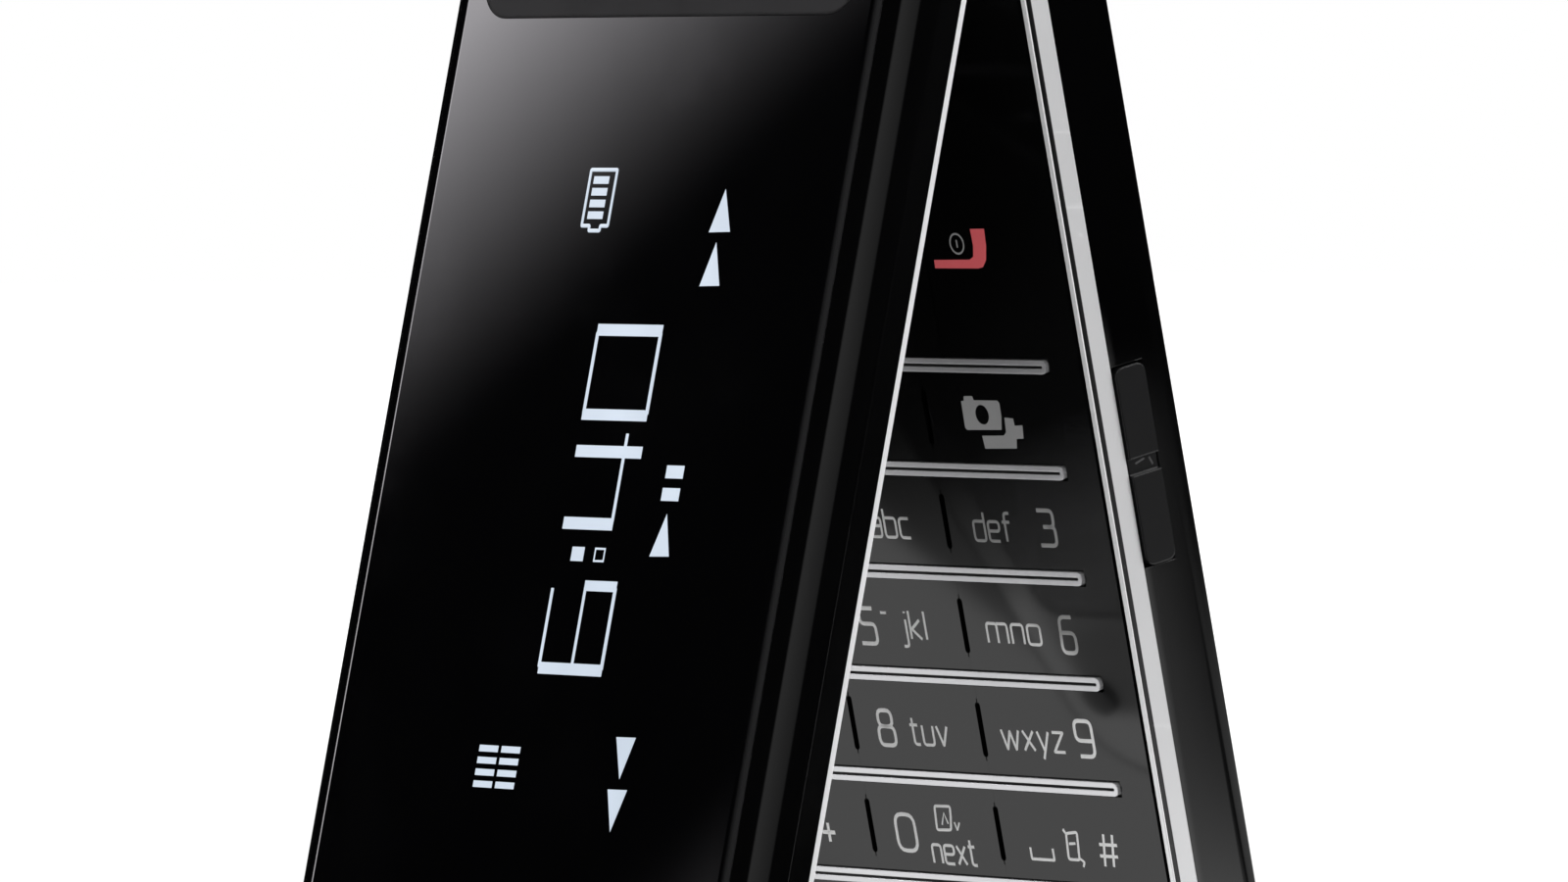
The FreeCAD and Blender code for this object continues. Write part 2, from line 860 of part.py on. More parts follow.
def loudspeaker():
    z_back = base_back - shell_wall
    frame = rounded_block((speaker_x - speaker_width / 2, speaker_x + speaker_width / 2),
                          (speaker_y - speaker_length / 2, speaker_y + speaker_length / 2),
                          speaker_corner_r, (z_back - speaker_height, z_back))
    cone = Part.makeCone(cone_r, cone_inner_r, cone_depth, Vector(speaker_x, speaker_y, z_back),
                         Vector(0, 0, -1))
    return frame.cut(cone)


def motor_axis_z():
    return base_back - shell_wall - motor_r


def vibration_motor():
    z = motor_axis_z()
    can = rod(motor_r, motor_length, Vector(motor_x, motor_y, z), Vector(1, 0, 0))
    bore = rod(motor_shaft_r + running_gap, motor_length, Vector(motor_x + motor_end_wall, motor_y, z),
               Vector(1, 0, 0))
    return can.cut(bore)


def vibration_weight():
    z = motor_axis_z()
    shaft_start = motor_x + motor_end_wall + running_gap
    weight_start = motor_x + motor_length + weight_gap
    shaft = rod(motor_shaft_r, weight_start + weight_length - shaft_start,
                Vector(shaft_start, motor_y, z), Vector(1, 0, 0))
    weight = rod(weight_r, weight_length, Vector(weight_start, motor_y, z), Vector(1, 0, 0))
    upper = box((weight_start, weight_start + weight_length),
                (motor_y - weight_r, motor_y + weight_r), (z - weight_r, z))
    return weight.cut(upper).fuse(shaft).removeSplitter()


def antenna_carrier():
    half = low_bay_half_width - antenna_gap
    start = low_bay_start + antenna_gap
    end = low_bay_end - antenna_gap
    z_end = cover_under - floor_wall
    block = box((-half, half), (start, end), (z_end - antenna_height, z_end))
    trough = box((-half + antenna_wall, half - antenna_wall), (start + antenna_wall, end - antenna_wall),
                 (z_end - antenna_height, z_end - antenna_wall))
    return block.cut(trough)


def microphone():
    half = mic_size / 2
    return box((-half, half), (mic_place - half, mic_place + half),
               (board_under, board_under + mic_height))


def housing_screws():
    screws = []
    for x, y in screw_spots():
        seat = screw_seat(y)
        head = rod(screw_head_r, screw_head_height, Vector(x, y, seat))
        socket = rod(screw_hex_r, screw_hex_depth, Vector(x, y, seat + screw_head_height - screw_hex_depth))
        tip = plate_under + screw_tip_gap
        shank = rod(screw_shank_r, seat - tip, Vector(x, y, tip))
        screws.append(head.fuse(shank).removeSplitter().cut(socket))
    return Part.makeCompound(screws)


def charging_socket():
    x_range, y_range, z_range = socket_space(0)
    mouth = -half_width + port_cover_thick + port_cover_gap
    shell = box((mouth, x_range[1]), y_range, z_range)
    throat = box((mouth, x_range[1] - socket_wall),
                 (y_range[0] + socket_wall, y_range[1] - socket_wall),
                 (z_range[0] + socket_wall, z_range[1] - socket_wall))
    tongue = box((mouth + socket_tongue_drop, x_range[1]),
                 (middle(y_range) - socket_tongue_width / 2, middle(y_range) + socket_tongue_width / 2),
                 (middle(z_range) - socket_tongue_thick / 2, middle(z_range) + socket_tongue_thick / 2))
    return shell.cut(throat).fuse(tongue).removeSplitter()


def port_cover():
    y_range, z_range = port_space(0)
    outer = -half_width
    inner = outer + port_cover_thick
    flap = box((outer, inner), (y_range[0] + port_pivot_r, y_range[1]), z_range)
    pivot = rod(port_pivot_r, port_height,
                Vector(outer + port_cover_thick / 2, y_range[0] + port_pivot_r, z_range[0]))
    tongue_z = middle(z_range)
    tongue = box((inner, inner + port_tongue_depth),
                 (y_range[0] + port_tongue_inset, y_range[1] - port_tongue_inset),
                 (tongue_z - port_tongue_height / 2, tongue_z + port_tongue_height / 2))
    return join([flap, pivot, tongue])


def volume_rocker():
    """One rocking key with a narrow waist between its two ends."""
    y_range, z_range = rocker_space(0)
    outer = half_width + rocker_proud
    back = outer - rocker_depth
    profile = rounded_face(y_range, (z_range[0], z_range[1]), rocker_corner_r)
    profile.rotate(Vector(0, 0, 0), Vector(1, 1, 1), 120)
    body = profile.extrude(Vector(rocker_depth, 0, 0))
    body.translate(Vector(back, 0, 0))
    centre = middle(y_range)
    waist = box((outer - rocker_waist_depth, outer),
                (centre - rocker_waist_width / 2, centre + rocker_waist_width / 2), z_range)
    nub = rod(rocker_nub_r, rocker_height - 2 * rocker_corner_r,
              Vector(rocker_axis_x(), centre, z_range[0] + rocker_corner_r))
    return join([body.cut(waist), nub])


def rocker_floor_x():
    return half_width + rocker_proud - rocker_depth - rocker_press_gap


def rocker_axis_x():
    return rocker_floor_x() + running_gap + rocker_nub_r


# Hinge

def drive_head():
    """D-shaped head that turns with the base inside the right knuckle."""
    start = knuckle_inner
    head = axis_rod(drive_head_r, (start, start + drive_head_length))
    flat = box((start, start + drive_head_length), (-drive_head_r, drive_head_r),
               (drive_head_r - drive_head_flat, drive_head_r))
    return head.cut(flat)


def hinge_drive_pin():
    journal = axis_rod(drive_journal_r, (knuckle_inner - knuckle_side_gap - drive_journal_length,
                                         knuckle_inner))
    return drive_head().fuse(journal).removeSplitter()


def hinge_flex_bush():
    """Hollow pin in the left knuckle that lets the flat cable through."""
    x_range = (-half_width + bush_depth, -half_width + bush_depth + bush_length)
    tube = axis_rod(hinge_bore_r - running_gap, x_range)
    bore = axis_rod(bush_bore_r, x_range)
    return tube.cut(bore)


def knuckle_end_caps():
    caps = [axis_rod(end_cap_r, (half_width - end_cap_thick, half_width)),
            axis_rod(end_cap_r, (-half_width, -half_width + end_cap_thick))]
    return Part.makeCompound(caps)


# Lid casings, in the lid's own tray frame

def lid_neck():
    """Hinge barrel and the neck that joins it to the lid."""
    seam_y = lid_start
    low = math.sqrt(barrel_r ** 2 - half_gap ** 2)
    high = math.sqrt(barrel_r ** 2 - lid_face ** 2)
    a = Vector(0, seam_y, half_gap)
    b = Vector(0, low, half_gap)
    c = Vector(0, -barrel_r, 0)
    d = Vector(0, high, lid_face)
    e = Vector(0, seam_y, lid_face)
    edges = [Part.makeLine(a, b), Part.Arc(b, c, d).toShape(), Part.makeLine(d, e), Part.makeLine(e, a)]
    face = Part.Face(Part.Wire(edges))
    face.translate(Vector(-barrel_half, 0, 0))
    return face.extrude(Vector(2 * barrel_half, 0, 0))


def knuckle_rooms():
    """Space that the base's two knuckles sweep through."""
    radius = barrel_r + barrel_gap
    return [axis_rod(radius, (-width, -barrel_half)), axis_rod(radius, (barrel_half, width))]


def cartridge_solid(gap):
    """Spring cartridge with two flats, in the barrel beside the right knuckle."""
    end = -barrel_half if gap == 0 else -barrel_half - overcut
    can = axis_rod(hinge_bore_r - running_gap + gap, (end, -barrel_half + cartridge_length + gap))
    half_flat = hinge_bore_r - running_gap - cartridge_flat + gap
    keeper = box((-width, width), (-half_flat, half_flat), (-width, width))
    return can.common(keeper)


def lid_inner_frame():
    rim = plan_block(0, 0, (half_gap, half_gap + lid_split))
    rim = cut_all(rim, [axis_rod(barrel_r + barrel_gap, (-width, width))])
    rim = largest_piece(rim)
    trim_notch = plan_ring(0, lid_trim_width, 0, (0, half_gap + lid_trim_height))
    rim = rim.cut(trim_notch)
    floor = half_gap + lid_wall
    bay = plan_block(lid_bay_inset, lid_bay_start, (floor, lid_face))
    rim = rim.cut(bay)
    solid = rim.fuse(lid_neck()).removeSplitter()
    window_room = rounded_block((-display_window_half_width - window_gap,
                                 display_window_half_width + window_gap),
                                (display_window_start - window_gap, display_window_end + window_gap),
                                display_window_corner_r,
                                (0, half_gap + display_window_drop + display_window_thick))
    view_half = display_width / 2 - display_border
    view = box((-view_half, view_half),
               (display_start + display_border, display_start + display_length - display_border),
               (0, lid_face))
    ear_slot = stadium_block((-ear_slot_length / 2, ear_slot_length / 2),
                             (earpiece_y - ear_slot_width / 2, earpiece_y + ear_slot_width / 2),
                             (0, floor + overcut))
    camera_room = camera_bed((floor, lid_face + overcut))
    tools = [window_room, view, ear_slot, camera_room]
    tools += [rod(bumper_r, bumper_height, Vector(x, y, half_gap)) for x, y in bumper_spots()]
    tools += [cartridge_solid(running_gap), bush_room(), flex_room()]
    return cut_all(solid, tools).removeSplitter()


def bush_room():
    """Running bore for the hollow pin and the rolled cable, from the left end of the barrel."""
    return axis_rod(hinge_bore_r, (flex_room_start(), barrel_half + overcut))


def flex_room_start():
    return barrel_half - bush_reach() - flex_coil_width - 2 * flex_side_gap


def bush_reach():
    """How far the hollow pin runs into the barrel."""
    return bush_length - (knuckle_width - bush_depth) - knuckle_side_gap


def flex_room():
    """Slot that leads the flat cable out of the barrel into the lid."""
    start = flex_room_start()
    height = hinge_bore_r - flex_slot_drop
    return box((start, start + flex_coil_width + flex_side_gap), (0, lid_bay_start + overcut),
               (height, height + flex_slot_height))


def hinge_flex():
    """Flat cable: a loose roll about the hinge axis and a tail into the lid."""
    start = flex_room_start() + flex_side_gap
    edges_out = []
    edges_in = []
    radius = flex_coil_inner_r
    centre = 0.0
    side = 1
    for turn in range(2 * flex_coil_turns):
        outer = radius + flex_thick
        for edges, size in ((edges_in, radius), (edges_out, outer)):
            first = Vector(start, centre - side * size, 0)
            mid = Vector(start, centre, side * size)
            last = Vector(start, centre + side * size, 0)
            edges.append(Part.Arc(first, mid, last).toShape())
        step = flex_coil_pitch / 2
        centre -= side * step
        radius += step
        side = -side
    first_cap = Part.makeLine(edges_in[0].Vertexes[0].Point, edges_out[0].Vertexes[0].Point)
    last_cap = Part.makeLine(edges_in[-1].Vertexes[-1].Point, edges_out[-1].Vertexes[-1].Point)
    wire = Part.Wire(Part.sortEdges(edges_in + edges_out + [first_cap, last_cap])[0])
    return Part.Face(wire).extrude(Vector(flex_coil_width, 0, 0))


def bumper_spots():
    return [(side * bumper_x, place) for place in bumper_places for side in (-1, 1)]


def deck_block(gap, z_range):
    """Dark panel at the hinge end of the face, with two round corners."""
    half = deck_half_width + gap
    return rounded_block((-half, half), (-deck_end, deck_end + gap), deck_corner_r + gap, z_range)


def lid_shell_form():
    """Outer form of the lid's back half, with its round edges."""
    solid = plan_block(0, lid_start + neck_seam, (half_gap + lid_split, lid_face))
    return round_outer_edges(solid, lid_edge_round, lid_face, lid_start + neck_seam)


def lid_outer_cover():
    solid = cut_all(lid_shell_form(), knuckle_rooms())
    bay = plan_block(lid_bay_inset, lid_bay_start, (0, lid_ceiling))
    window_room = plan_block(window_inset - window_gap, lid_start,
                             (lid_face - window_thick, lid_face + overcut))
    display_view = box(outer_display_range(), outer_display_reach(), (0, lid_face))
    camera_room = rod(lens_ring_r + seat_gap, 2 * lid_face, Vector(0, camera_y, 0))
    module_room = camera_bed((0, camera_back() + seat_gap))
    return cut_all(solid, [bay, window_room, display_view, camera_room, module_room]).removeSplitter()


def camera_bed(z_range):
    """Space of the camera module with its seat clearance."""
    half = camera_size / 2 + seat_gap
    return box((-half, half), (camera_y - half, camera_y + half), z_range)


def camera_back():
    return half_gap + lid_wall + camera_height


def outer_display_range():
    half = outer_display_width / 2 - display_border
    return (outer_display_x - half, outer_display_x + half)


def outer_display_reach():
    return (outer_display_start + display_border,
            outer_display_start + outer_display_length - display_border)


def face_window():
    """Glossy panel over the whole lid face, cut out round the dark deck."""
    solid = plan_block(window_inset, lid_start + neck_seam, (lid_face - window_thick, lid_face))
    solid = solid.common(lid_shell_form())
    return solid.cut(deck_block(window_gap, (0, 2 * lid_face)))


def camera_deck():
    solid = deck_block(0, (lid_face - deck_thick, lid_face))
    solid = solid.common(plan_block(0, lid_start + neck_seam, (0, 2 * lid_face)))
    return solid.cut(rod(lens_ring_r, 2 * lid_face, Vector(0, camera_y, 0)))


def camera_lens_ring():
    bottom = camera_back()
    top = lid_face + lens_ring_proud
    ring = rod(lens_ring_r, top - bottom, Vector(0, camera_y, bottom))
    return ring.cut(rod(lens_r, 2 * top, Vector(0, camera_y, 0)))


def camera_lens():
    return rod(lens_r, lens_thick, Vector(0, camera_y, lid_face - lens_drop - lens_thick))


def camera_module():
    half = camera_size / 2
    floor = half_gap + lid_wall
    body = box((-half, half), (camera_y - half, camera_y + half), (floor, camera_back()))
    barrel_top = lid_face - lens_drop - lens_thick
    barrel = rod(lens_r - lens_fit_gap, barrel_top - camera_back() - seat_gap,
                 Vector(0, camera_y, camera_back()))
    return body.fuse(barrel).removeSplitter()


def lid_edge_trim():
    ring = plan_ring(0, lid_trim_width, 0, (half_gap, half_gap + lid_trim_height))
    ring = ring.cut(axis_rod(barrel_r + barrel_gap, (-width, width)))
    return largest_piece(ring)


# Inside the lid

def inner_display_window():
    z = half_gap + display_window_drop
    return rounded_block((-display_window_half_width, display_window_half_width),
                         (display_window_start, display_window_end),
                         display_window_corner_r, (z, z + display_window_thick))


def display_floor():
    return half_gap + lid_wall


def inner_display():
    z = display_floor()
    return box((-display_width / 2, display_width / 2),
               (display_start, display_start + display_length), (z, z + display_thick))


def lid_circuit_board():
    z = display_floor() + display_thick
    half = lid_board_width / 2
    start = lid_bay_start + lid_board_gap
    return box((-half, half), (start, reach - lid_board_end_gap), (z, z + lid_board_thick))


def outer_display():
    half = outer_display_width / 2
    return box((outer_display_x - half, outer_display_x + half),
               (outer_display_start, outer_display_start + outer_display_length),
               (lid_ceiling - outer_display_thick, lid_ceiling))


def earpiece():
    z = half_gap + lid_wall
    half = earpiece_length / 2
    return stadium_block((-half, half), (earpiece_y - earpiece_width / 2, earpiece_y + earpiece_width / 2),
                         (z, z + earpiece_height))


def lid_bumpers():
    pads = [rod(bumper_r, bumper_height + bumper_proud, Vector(x, y, half_gap - bumper_proud))
            for x, y in bumper_spots()]
    return Part.makeCompound(pads)


# Rest pose and output

def rest_matrix(outward):
    """Tray frame to the standing part's frame, with the hinge axis at its height."""
    angle = math.radians(rest_half_angle)
    matrix = FreeCAD.Matrix()
    matrix.A11 = 1.0 if outward > 0 else -1.0
    matrix.A22 = outward * math.sin(angle)
    matrix.A23 = outward * math.cos(angle)
    matrix.A32 = -math.cos(angle)
    matrix.A33 = math.sin(angle)
    matrix.A24 = stand_offset
    matrix.A34 = hinge_height
    return matrix


def hinge_place():
    """Hinge height and offset that put the origin on the floor, midway front to back."""
    angle = math.radians(rest_half_angle)
    height = reach * math.cos(angle) - half_gap * math.sin(angle)
    corner_y = reach - edge_round
    base_edge = corner_y * math.sin(angle) + (base_back - edge_round) * math.cos(angle) + edge_round
    lid_edge = corner_y * math.sin(angle) + (lid_face - edge_round) * math.cos(angle) + edge_round
    return height, (lid_edge - base_edge) / 2


hinge_height, stand_offset = hinge_place()


def write(name, solid, outward):
    placed = solid.copy()
    placed.transformShape(rest_matrix(outward))
    placed.exportStep("parts/" + name + ".step")


def main():
    os.makedirs("parts", exist_ok=True)
    base_parts = {
        "base_rear_housing": base_rear_housing(),
        "base_front_housing": base_front_housing(),
        "side_trim_band": side_trim_band(),
        "keypad_edge_trim": keypad_edge_trim(),
        "keypad_row_bars": keypad_row_bars(),
        "keypad_mat": keypad_mat(),
        "metal_domes": metal_domes(),
        "main_circuit_board": main_circuit_board(),
        "shield_cans": shield_cans(),
        "battery_pack": battery_pack(),
        "battery_cover": battery_cover(),
        "loudspeaker": loudspeaker(),
        "vibration_motor": vibration_motor(),
        "vibration_weight": vibration_weight(),
        "antenna_carrier": antenna_carrier(),
        "microphone": microphone(),
        "housing_screws": housing_screws(),
        "charging_socket": charging_socket(),
        "port_cover": port_cover(),
        "volume_rocker": volume_rocker(),
        "hinge_drive_pin": hinge_drive_pin(),
        "hinge_flex_bush": hinge_flex_bush(),
        "knuckle_end_caps": knuckle_end_caps(),
        "navigation_ring": navigation_ring(),
        "select_key": select_key(),
    }
    for name, x_range, y_range in grid_keys() + upper_keys():
        base_parts[name] = key_cap(x_range, y_range)
    lid_parts = {
        "lid_inner_frame": lid_inner_frame(),
        "lid_outer_cover": lid_outer_cover(),
        "lid_edge_trim": lid_edge_trim(),
        "face_window": face_window(),
        "camera_deck": camera_deck(),
        "camera_lens_ring": camera_lens_ring(),
        "camera_lens": camera_lens(),
        "camera_module": camera_module(),
        "inner_display_window": inner_display_window(),
        "inner_display": inner_display(),
        "outer_display": outer_display(),
        "lid_circuit_board": lid_circuit_board(),
        "earpiece": earpiece(),
        "lid_bumpers": lid_bumpers(),
        "hinge_cartridge": cartridge_solid(0).cut(
            axis_rod(drive_journal_r + running_gap, (-barrel_half - 1, -barrel_half + drive_journal_length))),
        "hinge_flex": hinge_flex(),
    }
    for name, solid in base_parts.items():
        write(name, solid, 1)
    for name, solid in lid_parts.items():
        write(name, solid, -1)
    for name, solid in {**base_parts, **lid_parts}.items():
        print(name, solid.isValid(), len(solid.Solids), round(solid.Volume, 3))
    print("hinge axis", round(stand_offset, 4), round(hinge_height, 4))


main()
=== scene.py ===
import math

import bmesh
import bpy
from mathutils import Matrix, Vector


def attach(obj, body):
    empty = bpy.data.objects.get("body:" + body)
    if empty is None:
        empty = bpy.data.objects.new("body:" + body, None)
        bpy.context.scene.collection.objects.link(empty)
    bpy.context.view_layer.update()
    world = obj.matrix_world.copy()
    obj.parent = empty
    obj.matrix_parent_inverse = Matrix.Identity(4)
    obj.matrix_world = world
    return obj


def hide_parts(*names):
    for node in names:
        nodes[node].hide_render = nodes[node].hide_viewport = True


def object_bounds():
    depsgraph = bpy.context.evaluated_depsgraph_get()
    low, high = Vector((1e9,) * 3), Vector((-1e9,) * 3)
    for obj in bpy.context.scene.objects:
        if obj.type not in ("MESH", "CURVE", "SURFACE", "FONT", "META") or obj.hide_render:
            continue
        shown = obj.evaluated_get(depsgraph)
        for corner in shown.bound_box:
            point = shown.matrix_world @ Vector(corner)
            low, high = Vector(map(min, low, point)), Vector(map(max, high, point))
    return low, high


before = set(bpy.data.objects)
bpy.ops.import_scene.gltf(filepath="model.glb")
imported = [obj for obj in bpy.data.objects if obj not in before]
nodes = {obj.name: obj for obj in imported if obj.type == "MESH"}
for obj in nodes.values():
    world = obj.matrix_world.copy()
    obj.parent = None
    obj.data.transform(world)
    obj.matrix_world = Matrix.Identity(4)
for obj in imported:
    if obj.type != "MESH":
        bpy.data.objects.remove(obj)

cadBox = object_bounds()
scene = bpy.context.scene
print("frame loaded:", len(nodes), "nodes")

# the phone stands open like a tent, so each half leans by this angle in degrees; the hinge line is in mm
stance = {"halfAngle": 12.825, "hingeHeight": 85.7713, "hingeBack": -1.4626}
sinT = math.sin(math.radians(stance["halfAngle"]))
cosT = math.cos(math.radians(stance["halfAngle"]))


def makePlate(right, up, out, start):
    # a flat work plane in mm: x to the right, y towards the hinge, z towards the viewer
    turned = Matrix((right, up, out)).transposed().to_4x4()
    turned.translation = Vector(start)
    return Matrix.Scale(0.001, 4) @ turned


def underHinge(depth, half):
    # beside the hinge line, this deep from the closing plane in the keypad half (1) or in the lid (-1)
    return (0, stance["hingeBack"] + half * depth * cosT, stance["hingeHeight"] + depth * sinT)


def keypadPlate(depth):
    return makePlate((1, 0, 0), (0, -sinT, cosT), (0, -cosT, -sinT), underHinge(depth, 1))


def lidPlate(depth):
    return makePlate((1, 0, 0), (0, sinT, cosT), (0, -cosT, sinT), underHinge(depth, -1))


def lidInnerPlate(depth):
    return makePlate((-1, 0, 0), (0, sinT, cosT), (0, cosT, -sinT), underHinge(depth, -1))


def wallPlate(across):
    # on the right side wall: x is depth from the closing plane, y towards the hinge
    start = (across, stance["hingeBack"], stance["hingeHeight"])
    return makePlate((0, cosT, sinT), (0, -sinT, cosT), (1, 0, 0), start)


def addNode(kind, inputs, tree=None, **settings):
    # a shader node; each input takes a plain value or another node's output, which also tells the tree
    tree = tree or next(v.id_data for v in inputs.values() if isinstance(v, bpy.types.NodeSocket))
    node = tree.nodes.new("ShaderNode" + kind)
    for setting, value in settings.items():
        setattr(node, setting, value)
    for key, value in inputs.items():
        if isinstance(value, bpy.types.NodeSocket):
            tree.links.new(value, node.inputs[key])
        elif value is not None:
            node.inputs[key].default_value = value
    return node


def mathNode(operation, first, *others):
    # several values are worked through in turn, as in a long product
    for other in others or (None,):
        first = addNode("Math", {0: first, 1: other}, operation=operation).outputs[0]
    return first


def productOf(*values):
    return mathNode("MULTIPLY", *values)


def sumOf(*values):
    return mathNode("ADD", *values)


def minus(value, other):
    return mathNode("SUBTRACT", value, other)


def largestOf(*values):
    return mathNode("MAXIMUM", *values)


def rangeNode(value, fromLow, fromHigh, toLow=0, toHigh=1, smooth=False):
    ends = {"Value": value, "From Min": fromLow, "From Max": fromHigh, "To Min": toLow, "To Max": toHigh}
    kind = "SMOOTHSTEP" if smooth else "LINEAR"
    return addNode("MapRange", ends, interpolation_type=kind).outputs["Result"]


def mixValues(amount, first, second):
    return rangeNode(amount, 0.0, 1.0, first, second)


def mixColours(amount, first, second):
    first, second = ((*c, 1.0) if isinstance(c, tuple) else c for c in (first, second))
    return addNode("Mix", {"Factor": amount, "A": first, "B": second}, data_type="RGBA").outputs["Result"]


def noiseNode(vector, scale, detail=2.0, rough=0.5):
    values = {"Vector": vector, "Scale": scale, "Detail": detail, "Roughness": rough}
    return addNode("TexNoise", values).outputs["Fac"]


def mappedVector(vector, scale=(1, 1, 1), turn=(0, 0, 0)):
    return addNode("Mapping", {"Vector": vector, "Scale": scale, "Rotation": turn}).outputs["Vector"]


def dotNode(vector, way):
    return addNode("VectorMath", {0: vector, 1: way}, operation="DOT_PRODUCT").outputs["Value"]


def axesOf(vector):
    return addNode("SeparateXYZ", {0: vector}).outputs


# surface effects that many finishes share, each a node group placed with its own values


def newGroup(name, outputs, numbers=None):
    # every group reads a vector, and some take a number as well
    tree = bpy.data.node_groups.new(name, "ShaderNodeTree")
    tree.interface.new_socket("Vector", in_out="INPUT", socket_type="NodeSocketVector")
    for socketName, value in (numbers or {}).items():
        socket = tree.interface.new_socket(socketName, in_out="INPUT", socket_type="NodeSocketFloat")
        socket.default_value = value
    for socketName in outputs:
        tree.interface.new_socket(socketName, in_out="OUTPUT", socket_type="NodeSocketFloat")
    return tree, tree.nodes.new("NodeGroupInput").outputs, tree.nodes.new("NodeGroupOutput").inputs


def buildMouldedGrain():
    # the fine skin that a steel mould leaves on plastic, and the faint mottle under it
    tree, into, out = newGroup("mouldedGrain", ["Height", "Mottle"], {"Grains per metre": 2500.0})
    fine = noiseNode(into["Vector"], into["Grains per metre"], 3.0, 0.6)
    broad = noiseNode(into["Vector"], 160.0)
    tree.links.new(fine, out["Height"])
    tree.links.new(rangeNode(broad, 0.3, 0.7), out["Mottle"])
    return tree


def buildHandling():
    # smudges where fingers have been, and fine hairline scratches in two directions
    tree, into, out = newGroup("handlingMarks", ["Smudge", "Scratch"])
    cloud = noiseNode(into["Vector"], 70.0, 4.0, 0.55)
    ridge = noiseNode(into["Vector"], 900.0, 1.0)
    smudge = rangeNode(cloud, 0.48, 0.72, smooth=True)
    smudge = productOf(smudge, rangeNode(ridge, 0.3, 0.7, 0.6, 1.0))
    marks = []
    for turn, scale in (((0.3, 0.2, 0.5), (30, 1900, 1500)), ((0.1, 1.1, -0.6), (1700, 26, 1400))):
        streak = noiseNode(mappedVector(into["Vector"], scale, turn), 1.0, 1.0)
        marks.append(rangeNode(streak, 0.73, 0.76))
    tree.links.new(smudge, out["Smudge"])
    tree.links.new(largestOf(*marks), out["Scratch"])
    return tree


def buildBrushed():
    # long fine lines along X, as on rolled or brushed metal
    tree, into, out = newGroup("brushedLines", ["Height", "Tone"], {"Lines per metre": 9000.0})
    drawnOut = mappedVector(into["Vector"], (0.012, 1, 1))
    fineness = addNode("CombineXYZ", {axis: into["Lines per metre"] for axis in range(3)})
    spread = addNode("VectorMath", {0: drawnOut, 1: fineness.outputs[0]}, operation="MULTIPLY")
    lines = noiseNode(spread.outputs[0], 1.0)
    tree.links.new(lines, out["Height"])
    tree.links.new(rangeNode(lines, 0.3, 0.7), out["Tone"])
    return tree


def buildDust():
    # a few lint specks that settle on gloss plastic
    tree, into, out = newGroup("dustSpecks", ["Speck"])
    cells = addNode("TexVoronoi", {"Scale": 420.0, "Vector": into["Vector"]})
    near = rangeNode(cells.outputs["Distance"], 0.03, 0.06, 1, 0)
    rare = noiseNode(into["Vector"], 300.0, 0.0)
    tree.links.new(productOf(near, rangeNode(rare, 0.6, 0.62)), out["Speck"])
    return tree


groups = {"grain": buildMouldedGrain(), "handling": buildHandling(), "brushed": buildBrushed(), "dust": buildDust()}
wear = {"brushedShade": 0.6, "scratchRough": 0.12, "dustColour": (0.35, 0.35, 0.36), "dustRough": 0.3}


def shade(colour, amount):
    return tuple(min(1.0, c * amount) for c in colour)


def surfaceOf(material):
    tree = material.node_tree
    return tree, tree.nodes["Principled BSDF"].inputs


def makeFinish(name, colour, rough, metal=0, grain=2500, depth=0, mottle=0.1, smudge=0.05, scratch=0, dust=0,
               brushed=0, specular=0.5, coat=0, glass=0, pattern=None, edge=0):
    # depth is the height of the grain and edge the softened corner, both in metres; the others are shares
    material = bpy.data.materials.new(name)
    material.use_nodes = True
    tree, surface = surfaceOf(material)
    plain = {"Metallic": metal, "IOR": 1.5, "Specular IOR Level": specular, "Coat Weight": coat,
             "Coat Roughness": 0.05, "Transmission Weight": glass}
    for socketName, value in plain.items():
        surface[socketName].default_value = value
    here = addNode("TexCoord", {}, tree).outputs["Object"]

    def place(group, **values):
        return addNode("Group", {"Vector": here, **values}, node_tree=groups[group]).outputs

    skin = place("grain", **{"Grains per metre": grain})
    marks = place("handling")
    tone = mixColours(skin["Mottle"], shade(colour, 1 - mottle), shade(colour, 1 + mottle))
    roughness = rangeNode(marks["Smudge"], 0.0, 1.0, rough, rough + smudge)
    height = skin["Height"]
    if pattern:
        tone, height = pattern(here, tone, height)
    if brushed:
        lines = place("brushed")
        amount = rangeNode(lines["Tone"], 0.0, 1.0, 0.0, brushed)
        tone = mixColours(amount, tone, shade(colour, wear["brushedShade"]))
        height = lines["Height"]
    if scratch:
        lighter = shade(tuple(c + 0.05 for c in colour), 1.6)
        tone = mixColours(productOf(marks["Scratch"], scratch), tone, lighter)
        rougher = productOf(marks["Scratch"], wear["scratchRough"])
        roughness = sumOf(roughness, rougher)
    if dust:
        speck = place("dust")["Speck"]
        tone = mixColours(productOf(speck, dust), tone, wear["dustColour"])
        roughness = sumOf(roughness, productOf(speck, wear["dustRough"]))
    tree.links.new(tone, surface["Base Color"])
    tree.links.new(roughness, surface["Roughness"])
    if depth or edge:
        rounded = addNode("Bevel", {"Radius": edge}, tree, samples=4).outputs["Normal"] if edge else None
        relief = {"Strength": 1.0, "Distance": max(depth, 1e-7), "Height": height, "Normal": rounded}
        tree.links.new(addNode("Bump", relief).outputs["Normal"], surface["Normal"])
    return material


# patterns: each takes a finish's tone and height and gives them back changed


